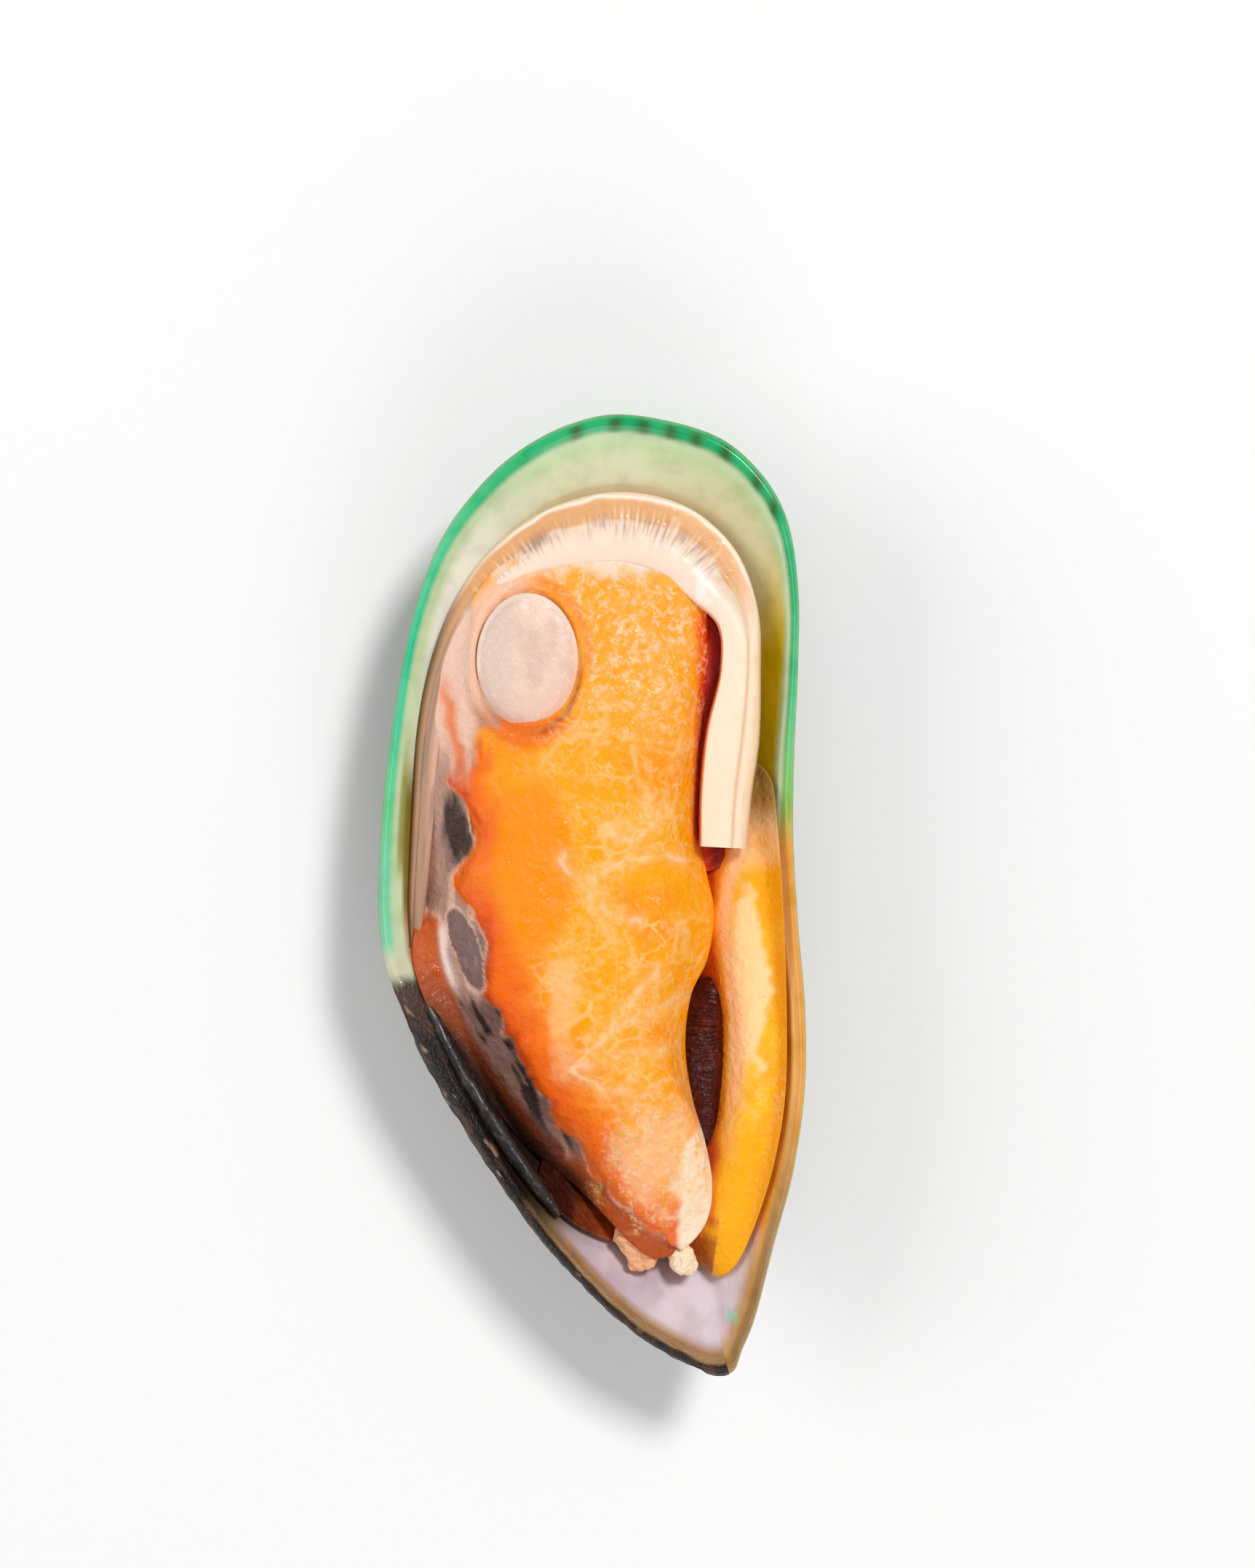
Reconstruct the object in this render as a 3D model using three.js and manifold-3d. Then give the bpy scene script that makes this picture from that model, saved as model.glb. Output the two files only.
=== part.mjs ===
// Green-lipped mussel on the half shell: one valve lying on its back, with the cooked meat still in it.
// Millimetres, +Z up. Seen from above, +Y runs from the pointed beak to the rounded posterior end,
// and the hinge margin is the straight one at the lower left.
import * as THREE from "three";
import Module from "manifold-3d";

const wasm = await Module();
wasm.setup();
const { lerp, smoothstep } = THREE.MathUtils;

// Driving dimensions of the shell
const RIM_HEIGHT = 16; // from the surface that the shell lies on to the crest of its rim
const WALL = 1.8; // shell thickness under the deepest point
const WORN_FLAT = 0.5; // depth worn off the back, which leaves the flat that the shell rests on
const EDGE_DROP = 0.55; // how far the outermost edge lies below the crest of the rim
const CREST_INSET = 0.5; // crest of the rim, measured in from the outermost edge
const LIP_DROP = 0.8; // how far the inner line of the lip lies below the crest
const LIP_WIDTH = { narrow: 1.5, wide: 2.4 }; // wide on the green side, narrow towards the byssus gape
const GREEN_SIDE = new THREE.Vector2(-0.6, 0.8); // direction in which the lip is widest
const LIP_CHANGE = { narrow: -0.6, wide: 0.5 }; // parts of that direction between which its width changes
const BOWL_POWER = { posterior: 2.1, anterior: 3.4 }; // gently dished behind, steep-sided towards the beak
const BOWL_CHANGE = { posterior: 24, anterior: -36 }; // the stretch of Y over which it changes
const BOWL_OVERRUN = 1.05; // how far the curve of the bowl goes on past its rim, as a share of its reach
const DEEPEST = new THREE.Vector2(2, -4); // deepest point of the bowl, seen from above

// Driving dimensions of the meat
const GAP = 0.35; // clearance between pieces that touch
const BED = 1; // height of the underside of the meat above the floor of the shell
const MEAT_CROWN = 19.2; // highest point of the near mantle lobe
const MEAT_CROWN_FALL = 0.0022; // fall of the crown towards its two ends, per millimetre squared
const MEAT_BORDER = { posterior: 14.6, hinge: 11.2, gape: 13.2 }; // height of the near lobe's border
const HINGE_CHANGE = { x: [6, -4], y: [12, -8] }; // where the border falls to its height at the hinge
const GAPE_CHANGE = [2, 10]; // stretch of X over which it changes to its height at the gape
const MEAT_ROLL = 1.2; // thickness of that border
const FAR_SHEET = 2.4; // thickness of the far mantle lobe where it lines the shell
const FAR_RIDGE = { height: 14.4, fall: 0.16, x: 17.7, turn: -14, bend: 0.0055 }; // its swollen ventral fold
const FOOT = { top: 12.9, thickness: 6, topRound: 2.2, underRound: 2.6 };
const ADDUCTOR = { x: -6.7, y: 24.3, halfWidth: 5.1, halfLength: 6.9, top: 17.2, round: 0.7 };
const STRIP_DEPTH = 3.4; // thickness of the mantle edge at its ridge
const STRIP_THIN = 1.4; // the same where its half width runs out to nothing
const PALP = { top: 13.1, thickness: 3.2, round: 0.9 };
const LIGAMENT = { halfWidth: 0.95, halfHeight: 1.25, z: 13.9, endShare: 0.3 };
const BORDER_POWER = { small: 3, lobe: 4, sheet: 8 }; // how late a piece turns down towards its border

// Outlines seen from above, anticlockwise
const SHELL_RIM = [
  [3.5, 50], [-2.6, 48.9], [-8.2, 45.8], [-12.6, 41.5], [-15.9, 36.6], [-18.4, 29.9], [-20.2, 21.4],
  [-21.6, 11.1], [-22.2, 2], [-22, -4.6], [-20.6, -9.9], [-17, -18.1], [-12.7, -25.2], [-8.5, -31.6],
  [-3.6, -37.8], [1.2, -42.8], [5.6, -46.4], [10.2, -48.9], [12.9, -49.9], [14.7, -49.4], [15.6, -47.2],
  [17, -43.6], [18.9, -36.2], [20.9, -28.6], [22.1, -20], [22.1, -11.4], [21.4, -3], [20.9, 6], [21, 15],
  [21.4, 24], [21.4, 32], [20.2, 39.2], [17.1, 44.4], [12.1, 48.1],
];
const NEAR_LOBE = [
  [2.7, 35.2], [-4.1, 34.9], [-9.4, 33.2], [-13.1, 29.6], [-15.3, 25], [-16.3, 19.7], [-17, 12.9],
  [-17.4, 6.2], [-17.5, -0.6], [-17.1, -5.9], [-15.9, -10.5], [-13.4, -15.7], [-10.1, -21], [-6.7, -25.9],
  [-2.6, -29.9], [1.2, -33.5], [4.2, -36.5], [6.9, -38], [9.9, -36.7], [12, -33.9], [12.5, -30.1],
  [11.8, -25.9], [10.4, -21], [9.7, -15.7], [10.3, -10.5], [12, -6.7], [12.7, -1.8], [11.9, 2.4],
  [11.1, 6.9], [11.3, 13.7], [11.8, 20.5], [12.1, 26.5], [10.8, 30.6], [7.6, 34],
];
const FAR_LOBE = [
  [18.6, 12], [16.4, 14], [13.6, 12.5], [11.4, 7], [8.4, 0], [5.6, -8], [3.2, -16], [0.6, -24], [-1.2, -31],
  [0.8, -35.6], [5.2, -37.6], [10.6, -38.8], [13.1, -40.1], [15.2, -38.4], [17.4, -33.1], [19.1, -27.1],
  [20.1, -20.3], [20.2, -11.2], [19.8, -1.4], [19.3, 6],
];
const FOOT_OUTLINE = [
  [12.9, -8.6], [10.4, -10], [8.4, -13.6], [7.9, -18.4], [8.9, -23], [10.9, -26.3], [13, -25.8], [14, -21],
  [14.4, -15.7], [14, -11.2],
];
const LEFT_PALP = [[6.6, -34.8], [2.6, -34.6], [2.9, -37.4], [4.2, -39.3], [6.1, -39.3], [7.2, -37.4]];
const RIGHT_PALP = [[10.3, -36.7], [8.3, -36.9], [8.2, -38.6], [9.3, -39.6], [10.6, -39.7], [11.1, -38.4]];

// Mantle edge, from its thin hinge end, round the posterior end, to where it was cut. Each row gives x, y,
// half width and height of the ridge.
const MANTLE_EDGE = [
  [-18.6, -5.5, 0.4, 13.4], [-18.3, -0.6, 0.9, 14.4], [-17.7, 7.7, 1.15, 14.9], [-17, 16.7, 1.25, 15.1],
  [-15.6, 23.5, 1.4, 15.2], [-13.1, 29.2, 1.8, 15.4], [-9.4, 33.7, 2.4, 15.5], [-4.8, 36.7, 3, 15.6],
  [-0.3, 38, 3.4, 15.6], [4.2, 38.2, 3.6, 15.6], [8.8, 36.7, 3.6, 15.7], [12.5, 33.3, 3.3, 15.9],
  [15.3, 28.8, 2.4, 16.2], [15.4, 22.8, 2.2, 16.6], [14.6, 16.7, 2.4, 16.8], [13.9, 10.7, 2.4, 16.8],
  [13.6, 5, 2.3, 16.7],
];
// Its section: across from the thin outer border to the thick inner ridge, and down as a share of its depth
const EDGE_SECTION = [
  [-1, -0.8], [-0.95, -0.62], [-0.5, -0.42], [0, -0.22], [0.4, -0.04], [0.75, -0.02], [1, -0.25], [1, -0.8],
  [0.6, -1], [-0.4, -1],
];
// Hinge ligament, from the dorsal angle towards the beak
const LIGAMENT_LINE = [
  [-18.4, -8.8], [-16.4, -13.2], [-13.3, -18.9], [-9.6, -24.8], [-6, -30], [-3.4, -33.4],
];

// Facets of each piece
const RIM_POINTS = 720; // points of the rim that the shape of the bowl is read from
const SHELL_SIDES = 88;
const OUTER_RINGS = [0.22, 0.37, 0.52, 0.65, 0.77, 0.87, 0.95];
const INNER_RINGS = [0.95, 0.87, 0.77, 0.65, 0.5, 0.34, 0.18];
const LOBE_RINGS = [0.3, 0.55, 0.75, 0.88, 0.96];
const SMALL_RINGS = [0.4, 0.75, 0.92];
const LOBE_SIDES = 56;
const SMALL_SIDES = 20;
const EDGE_STEPS = 36;
const LIGAMENT_STEPS = 14;
const LIGAMENT_SIDES = 6;

// A smooth curve through points.
function curveThrough(points, closed) {
  return new THREE.CatmullRomCurve3(points, closed, "catmullrom", 0.5);
}

// The points of a smooth closed curve through an outline.
function sample(outline, count) {
  const points = outline.map(([x, y]) => new THREE.Vector3(x, y, 0));
  return curveThrough(points, true).getPoints(count).slice(0, count);
}

// How far a closed curve lies from the deepest point, in the direction of x, y.
function reachOf(points) {
  const angle = (x, y) => Math.atan2(y - DEEPEST.y, x - DEEPEST.x);
  const table = points
    .map((p) => [angle(p.x, p.y), Math.hypot(p.x - DEEPEST.x, p.y - DEEPEST.y)])
    .sort((a, b) => a[0] - b[0]);
  const last = table[table.length - 1];
  table.unshift([last[0] - 2 * Math.PI, last[1]]);
  table.push([table[1][0] + 2 * Math.PI, table[1][1]]);
  return (x, y) => {
    const a = angle(x, y);
    const i = table.findIndex((row) => row[0] > a);
    const [[a0, r0], [a1, r1]] = [table[i - 1], table[i]];
    return lerp(r0, r1, (a - a0) / (a1 - a0));
  };
}

// Unit vector from the deepest point towards x, y.
function heading(x, y) {
  return new THREE.Vector2(x, y).sub(DEEPEST).normalize();
}

function bowlPower(y) {
  const share = smoothstep(y, BOWL_CHANGE.anterior, BOWL_CHANGE.posterior);
  return lerp(BOWL_POWER.anterior, BOWL_POWER.posterior, share);
}

function lipWidth(x, y) {
  const share = smoothstep(heading(x, y).dot(GREEN_SIDE), LIP_CHANGE.narrow, LIP_CHANGE.wide);
  return lerp(LIP_WIDTH.narrow, LIP_WIDTH.wide, share);
}

// A point moved towards the deepest point by a distance.
function inset(point, distance) {
  const h = heading(point.x, point.y);
  return new THREE.Vector3(point.x - h.x * distance, point.y - h.y * distance, 0);
}

const denseRim = sample(SHELL_RIM, RIM_POINTS);
const rimReach = reachOf(denseRim);
const lipReach = reachOf(denseRim.map((p) => inset(p, lipWidth(p.x, p.y))));

// A bowl that rises from its floor at the deepest point to its top at the given reach.
function bowl(x, y, reach, floor, top) {
  const share = Math.hypot(x - DEEPEST.x, y - DEEPEST.y) / reach(x, y);
  return floor + (top - floor) * Math.min(BOWL_OVERRUN, share) ** bowlPower(y);
}

const outerHeight = (x, y) => Math.max(0, bowl(x, y, rimReach, -WORN_FLAT, RIM_HEIGHT - EDGE_DROP));
const innerHeight = (x, y) => bowl(x, y, lipReach, WALL, RIM_HEIGHT - LIP_DROP);

// A closed solid skinned over loops of equal length, with a point at each end. The loops run from below
// to above and are anticlockwise seen from the last one.
function loft(first, loops, last) {
  const sides = loops[0].length;
  const positions = [first, ...loops.flat(), last].flatMap((p) => p.toArray());
  const at = (loop, side) => 1 + loop * sides + (side % sides);
  const end = 1 + loops.length * sides;
  const triangles = [];
  for (let side = 0; side < sides; side++) {
    triangles.push(0, at(0, side + 1), at(0, side));
    for (let loop = 0; loop + 1 < loops.length; loop++) {
      const [a, b, c, d] = [at(loop, side), at(loop, side + 1), at(loop + 1, side + 1), at(loop + 1, side)];
      triangles.push(a, b, c, a, c, d);
    }
    triangles.push(at(loops.length - 1, side), at(loops.length - 1, side + 1), end);
  }
  return new wasm.Manifold(
    new wasm.Mesh({
      numProp: 3,
      vertProperties: new Float32Array(positions),
      triVerts: new Uint32Array(triangles),
    }),
  );
}

// A closed solid between two height functions over an outline. Each is given x, y and how far out the point
// is, from 0 at the middle to 1 at the border. With grow it is larger all round, for cutting its neighbours.
function pillow({ outline, sides, rings, top, bottom, grow = 0 }) {
  const border = sample(outline, sides);
  const middle = border.reduce((sum, p) => sum.add(p), new THREE.Vector3()).divideScalar(sides);
  const ring = (share, height, lift) =>
    border.map((p) => {
      const out = p.clone().sub(middle);
      const flat = out.multiplyScalar(share * (1 + grow / out.length())).add(middle);
      return flat.setZ(height(flat.x, flat.y, share) + lift);
    });
  const pole = (height, lift) => middle.clone().setZ(height(middle.x, middle.y, 0) + lift);
  const under = [...rings, 1].map((share) => ring(share, bottom, -grow));
  const over = [1, ...[...rings].reverse()].map((share) => ring(share, top, grow));
  return loft(pole(bottom, -grow), [...under, ...over], pole(top, grow));
}

// The valve: the outer bowl, the lip and the inner bowl. With raise it is thicker inside, to cut the meat.
function shellSolid(raise = 0) {
  const rim = sample(SHELL_RIM, SHELL_SIDES);
  const towards = (point, share) =>
    new THREE.Vector3(lerp(DEEPEST.x, point.x, share), lerp(DEEPEST.y, point.y, share), 0);
  const outer = OUTER_RINGS.map((share) =>
    rim.map((p) => {
      const q = towards(p, share);
      return q.setZ(outerHeight(q.x, q.y));
    }),
  );
  const edge = rim.map((p) => p.clone().setZ(RIM_HEIGHT - EDGE_DROP));
  const crest = rim.map((p) => inset(p, CREST_INSET).setZ(RIM_HEIGHT + raise));
  const lip = rim.map((p) => inset(p, lipWidth(p.x, p.y)).setZ(RIM_HEIGHT - LIP_DROP + raise));
  const inner = INNER_RINGS.map((share) =>
    lip.map((p) => {
      const q = towards(p, share);
      return q.setZ(innerHeight(q.x, q.y) + raise);
    }),
  );
  const pole = (z) => new THREE.Vector3(DEEPEST.x, DEEPEST.y, z);
  return loft(pole(0), [...outer, edge, crest, lip, ...inner], pole(WALL + raise));
}

// The hinge ligament: a tapered cord in a groove just under the hinge margin.
function ligamentSolid(grow = 0) {
  const points = LIGAMENT_LINE.map(([x, y]) => new THREE.Vector3(x, y, LIGAMENT.z));
  const line = curveThrough(points, false);
  const loops = [];
  for (let step = 0; step <= LIGAMENT_STEPS; step++) {
    const share = step / LIGAMENT_STEPS;
    const centre = line.getPoint(share);
    const tangent = line.getTangent(share);
    const across = new THREE.Vector3(-tangent.y, tangent.x, 0);
    const taper = lerp(LIGAMENT.endShare, 1, Math.sqrt(Math.sin(Math.PI * share)));
    const loop = [];
    for (let side = 0; side < LIGAMENT_SIDES; side++) {
      const turn = (2 * Math.PI * side) / LIGAMENT_SIDES;
      const sideways = Math.cos(turn) * (LIGAMENT.halfWidth * taper + grow);
      const upward = Math.sin(turn) * (LIGAMENT.halfHeight * taper + grow);
      loop.push(centre.clone().addScaledVector(across, sideways).setZ(centre.z + upward));
    }
    loops.push(loop);
  }
  const past = (share, distance) => line.getPoint(share).addScaledVector(line.getTangent(share), distance);
  return loft(past(0, -grow), loops, past(1, grow));
}

// The mantle edge: a band with a thin outer border and a thick ridge, cut square at its ventral end.
function mantleEdgeSolid() {
  const rows = (pick) => MANTLE_EDGE.map((row) => new THREE.Vector3(...pick(row)));
  const line = curveThrough(rows(([x, y, , z]) => [x, y, z]), false);
  const width = curveThrough(rows(([, , half]) => [half, 0, 0]), false);
  const loops = [];
  for (let step = 0; step <= EDGE_STEPS; step++) {
    const share = step / EDGE_STEPS;
    const centre = line.getPoint(share);
    const tangent = line.getTangent(share);
    const inward = new THREE.Vector3(tangent.y, -tangent.x, 0).normalize();
    const half = width.getPoint(share).x;
    const depth = Math.min(STRIP_DEPTH, STRIP_THIN + half);
    loops.push(
      EDGE_SECTION.map(([across, down]) =>
        centre.clone().addScaledVector(inward, across * half).setZ(centre.z + down * depth),
      ),
    );
  }
  const endPoint = (share) => line.getPoint(share).add(new THREE.Vector3(0, 0, -STRIP_DEPTH / 2));
  return loft(endPoint(0), loops, endPoint(1));
}

// The far mantle lobe: a sheet that lines the shell and swells into a fold along the gape.
function farTop(x, y) {
  const crest = FAR_RIDGE.x - FAR_RIDGE.bend * Math.max(0, FAR_RIDGE.turn - y) ** 2;
  const fold = FAR_RIDGE.height - FAR_RIDGE.fall * (x - crest) ** 2;
  return Math.max(innerHeight(x, y) + FAR_SHEET, fold);
}

function farLobeSolid(grow = 0) {
  const bottom = (x, y) => innerHeight(x, y) + BED;
  return pillow({
    outline: FAR_LOBE,
    sides: LOBE_SIDES,
    rings: LOBE_RINGS,
    top: (x, y, out) => lerp(farTop(x, y), bottom(x, y) + GAP, out ** BORDER_POWER.sheet),
    bottom,
    grow,
  });
}

// The near mantle lobe: the thick, domed mass of meat.
function nearTop(x, y, out) {
  const [startX, fullX] = HINGE_CHANGE.x;
  const [startY, fullY] = HINGE_CHANGE.y;
  const hinge = smoothstep(-x, -startX, -fullX) * smoothstep(-y, -startY, -fullY);
  const gape = smoothstep(x, ...GAPE_CHANGE);
  const border = lerp(lerp(MEAT_BORDER.posterior, MEAT_BORDER.hinge, hinge), MEAT_BORDER.gape, gape);
  return lerp(MEAT_CROWN - MEAT_CROWN_FALL * y * y, border, out ** BORDER_POWER.lobe);
}

function nearLobeSolid() {
  return pillow({
    outline: NEAR_LOBE,
    sides: LOBE_SIDES,
    rings: LOBE_RINGS,
    top: nearTop,
    bottom: (x, y, out) => Math.min(innerHeight(x, y) + BED, nearTop(x, y, out) - MEAT_ROLL),
  });
}

// The foot: a dark tongue in the cleft between the two lobes.
function footSolid(grow = 0) {
  return pillow({
    outline: FOOT_OUTLINE,
    sides: SMALL_SIDES,
    rings: SMALL_RINGS,
    top: (x, y, out) => FOOT.top - FOOT.topRound * out ** BORDER_POWER.small,
    bottom: (x, y, out) => FOOT.top - FOOT.thickness + FOOT.underRound * out ** BORDER_POWER.small,
    grow,
  });
}

// The adductor muscle: a stout column from the shell's floor, cut across at the top. With rise it is taller,
// for cutting its neighbours open above it.
function adductorSolid(grow = 0, rise = 0) {
  const outline = [];
  for (let step = 0; step < SMALL_SIDES; step++) {
    const turn = (2 * Math.PI * step) / SMALL_SIDES;
    const x = ADDUCTOR.x + ADDUCTOR.halfWidth * Math.cos(turn);
    outline.push([x, ADDUCTOR.y + ADDUCTOR.halfLength * Math.sin(turn)]);
  }
  return pillow({
    outline,
    sides: SMALL_SIDES,
    rings: SMALL_RINGS,
    top: (x, y, out) => ADDUCTOR.top + rise - ADDUCTOR.round * out ** BORDER_POWER.lobe,
    bottom: (x, y) => innerHeight(x, y) + BED,
    grow,
  });
}

// A labial palp: a small soft flap under the tip of the near lobe.
function palpSolid(outline) {
  return pillow({
    outline,
    sides: SMALL_SIDES,
    rings: SMALL_RINGS,
    top: (x, y, out) => PALP.top - PALP.round * out ** BORDER_POWER.small,
    bottom: (x, y, out) => PALP.top - PALP.thickness + PALP.round * out ** BORDER_POWER.small,
  });
}

function colour(hex, roughness) {
  return new THREE.MeshStandardMaterial({ color: hex, roughness, metalness: 0 });
}

function nodeMesh(name, solid, material) {
  const { numProp, vertProperties, triVerts } = solid.getMesh();
  if (numProp !== 3) throw new Error(name + " has more than positions");
  const geometry = new THREE.BufferGeometry()
    .setAttribute("position", new THREE.BufferAttribute(vertProperties, 3))
    .setIndex(new THREE.BufferAttribute(triVerts, 1));
  geometry.computeVertexNormals();
  const mesh = new THREE.Mesh(geometry, material);
  mesh.name = name;
  return mesh;
}

// A solid less its neighbours. Offcuts on the far side of a cut are dropped.
function cutClear(solid, cutters) {
  const bodies = cutters.reduce((rest, cutter) => rest.subtract(cutter), solid).decompose();
  return bodies.reduce((best, body) => (body.volume() > best.volume() ? body : best));
}

// Each piece is cut clear of the ones that it lies on. The mantle edge and the palps grow on the near lobe.
const shellCutter = shellSolid(GAP);
const ligamentCutter = ligamentSolid(GAP);
const adductorCutter = adductorSolid(GAP, MEAT_CROWN - ADDUCTOR.top);
const farCutter = farLobeSolid(GAP);

const ligament = ligamentSolid();
const shell = cutClear(shellSolid(), [ligamentCutter]);
const adductor = cutClear(adductorSolid(), [shellCutter]);
const farLobe = cutClear(farLobeSolid(), [shellCutter, adductorCutter, ligamentCutter]);
const foot = cutClear(footSolid(), [shellCutter, farCutter]);
const nearLobe = cutClear(
  nearLobeSolid().add(mantleEdgeSolid()).add(palpSolid(LEFT_PALP)).add(palpSolid(RIGHT_PALP)),
  [shellCutter, adductorCutter, farCutter, footSolid(GAP), ligamentCutter],
);

const mussel = new THREE.Group();
mussel.name = "mussel_on_half_shell";
mussel.add(
  nodeMesh("shell", shell, colour(0x3fae7a, 0.3)),
  nodeMesh("hinge_ligament", ligament, colour(0x1c1412, 0.35)),
  nodeMesh("near_mantle_lobe", nearLobe, colour(0xf79a1c, 0.35)),
  nodeMesh("far_mantle_lobe", farLobe, colour(0xf6b02a, 0.35)),
  nodeMesh("adductor_muscle", adductor, colour(0xdcc0ac, 0.4)),
  nodeMesh("foot", foot, colour(0x43130e, 0.25)),
);

export default mussel;
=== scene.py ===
# Mussel on the half shell: one valve with a green lip, lying on its back, and the cooked meat in it.
# Shapes are worked out in millimetres and made in metres. +Y runs from the beak to the posterior end.
import functools
import math

import bpy
import numpy as np
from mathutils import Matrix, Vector


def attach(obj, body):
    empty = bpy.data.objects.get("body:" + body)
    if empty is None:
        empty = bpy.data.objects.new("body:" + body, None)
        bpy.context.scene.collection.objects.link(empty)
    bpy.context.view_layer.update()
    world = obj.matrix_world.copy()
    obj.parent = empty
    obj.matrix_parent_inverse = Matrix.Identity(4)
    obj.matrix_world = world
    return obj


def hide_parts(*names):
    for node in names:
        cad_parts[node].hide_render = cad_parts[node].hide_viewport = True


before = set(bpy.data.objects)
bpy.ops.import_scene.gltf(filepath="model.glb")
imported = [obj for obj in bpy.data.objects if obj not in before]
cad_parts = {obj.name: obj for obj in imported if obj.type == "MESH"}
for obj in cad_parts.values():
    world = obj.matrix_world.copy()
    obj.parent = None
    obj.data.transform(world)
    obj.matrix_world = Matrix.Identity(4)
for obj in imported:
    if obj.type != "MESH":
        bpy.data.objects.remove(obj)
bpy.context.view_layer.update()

MM = 0.001

# Shell, as in the solid model
RIM_HEIGHT = 16.0
WALL = 1.8
WORN_FLAT = 0.5
EDGE_DROP = 0.55
LIP_DROP = 0.8
LIP_WIDTH = {"narrow": 1.5, "wide": 2.4}
BOWL_POWER = {"posterior": 2.1, "anterior": 3.4}
BOWL_CHANGE = {"posterior": 24.0, "anterior": -36.0}
DEEPEST = np.array([2.0, -4.0])
BEAK = np.array([13.2, -49.2])

# Meat, close to the solid model. The muscle is 0.2 mm wider all round.
BED = 1.0
MEAT_CROWN = 19.2
MEAT_CROWN_FALL = 0.0022
MEAT_BORDER = {"posterior": 15.2, "hinge": 11.2, "gape": 13.2}
MEAT_ROLL = 1.2
FLANK_SHEET = 0.7
FAR_SHEET = 2.0
FAR_BLEND = 0.6  # softness of the join of fold and sheet
FAR_RIDGE = {"height": 14.4, "fall": 0.16, "x": 17.7, "turn": -14.0, "bend": 0.0055}
FOOT_TOP = 12.9
FOOT_DEPTH = 6.0
ADDUCTOR = {"x": -6.7, "y": 24.3, "half_width": 5.3, "half_length": 7.1, "top": 17.2}
PALP_TOP = 13.1
PALP_DEPTH = 3.2
LEDGE_TOP = 13.4
LEDGE_DEPTH = 2.4
LIGAMENT = {"half_width": 0.95, "half_height": 1.25, "z": 13.9}

# Outlines seen from above, anticlockwise
SHELL_RIM = [
    (3.5, 50), (-2.6, 48.9), (-8.2, 45.8), (-12.6, 41.5), (-15.9, 36.6), (-18.4, 29.9), (-20.2, 21.4),
    (-21.6, 11.1), (-22.2, 2), (-22, -4.6), (-20.6, -9.9), (-17, -18.1), (-12.7, -25.2), (-8.5, -31.6),
    (-3.6, -37.8), (1.2, -42.8), (5.6, -46.4), (10.2, -48.9), (12.9, -49.9), (14.7, -49.4), (15.6, -47.2),
    (17, -43.6), (18.9, -36.2), (20.9, -28.6), (22.1, -20), (22.1, -11.4), (21.4, -3), (20.9, 6), (21, 15),
    (21.4, 24), (21.4, 32), (20.2, 39.2), (17.1, 44.4), (12.1, 48.1),
]
NEAR_LOBE = [
    (2.7, 36.8), (-4.4, 36.2), (-10, 34), (-13.1, 29.6), (-15.3, 25), (-16.3, 19.7), (-17, 12.9),
    (-17.4, 6.2), (-18, -0.6), (-18.8, -5.9), (-17.4, -11), (-14.6, -16.2), (-11, -21.4), (-7.2, -26.2),
    (-2.6, -29.9), (1.2, -33.5), (4.2, -36.5), (6.9, -38), (9.9, -36.7), (12, -33.9), (12.5, -30.1),
    (11.8, -25.9), (10.4, -21), (9.7, -15.7), (10.3, -10.5), (12, -6.7), (12.7, -1.8), (11.9, 2.4),
    (11.1, 6.9), (11.3, 13.7), (11.8, 20.5), (12.1, 26.5), (11.4, 31.6), (8.2, 35.4),
]
FAR_LOBE = [
    (18.6, 12), (16.4, 14), (13.6, 12.5), (11.4, 7), (8.4, 0), (5.6, -8), (3.2, -16), (-2.6, -24),
    (-5.6, -29.5), (-2, -34.4), (4.6, -37.4), (10.6, -38.8), (13.1, -40.1), (15.2, -38.4), (17.4, -33.1),
    (19.1, -27.1), (20.1, -20.3), (20.2, -11.2), (19.8, -1.4), (19.3, 6),
]
FOOT = [
    (12.9, -8.6), (10.4, -10), (8.4, -13.6), (7.9, -18.4), (8.9, -23), (10.9, -26.3), (13, -25.8), (14, -21),
    (14.4, -15.7), (14, -11.2),
]
PALPS = {
    "left_palp": [(6.6, -34.8), (2.6, -34.6), (2.9, -37.4), (4.2, -39.3), (6.1, -39.3), (7.2, -37.4)],
    "right_palp": [(10.3, -36.7), (8.3, -36.9), (8.2, -38.6), (9.3, -39.6), (10.6, -39.7), (11.1, -38.4)],
}
LIGAMENT_LINE = [
    (-18.4, -8.8), (-16.4, -13.2), (-13.3, -18.9), (-9.6, -24.8), (-6, -30), (-3.4, -33.4),
]
# Mantle edge from its thin hinge end to where it was cut: x, y, half width, ridge height
MANTLE_EDGE = [
    (-18.6, -5.5, 0.4, 13.4), (-18.3, -0.6, 0.9, 14.4), (-17.7, 7.7, 1.15, 14.9), (-17, 16.7, 1.25, 15.1),
    (-15.6, 23.5, 1.4, 15.2), (-13.1, 29.2, 1.8, 15.4), (-9.4, 33.7, 2.4, 15.6), (-4.8, 36.7, 3, 15.8),
    (-0.3, 38, 3.5, 15.9), (4.2, 38.2, 3.7, 15.9), (8.8, 36.7, 3.7, 16), (12.5, 33.3, 3.4, 16.1),
    (15.1, 28.9, 2.2, 16.3), (15.4, 23.4, 2.05, 16.6), (14.6, 16.7, 2.7, 16.8), (13.9, 10.7, 2.6, 16.8),
    (13.6, 5, 2.4, 16.7),
]
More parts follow.
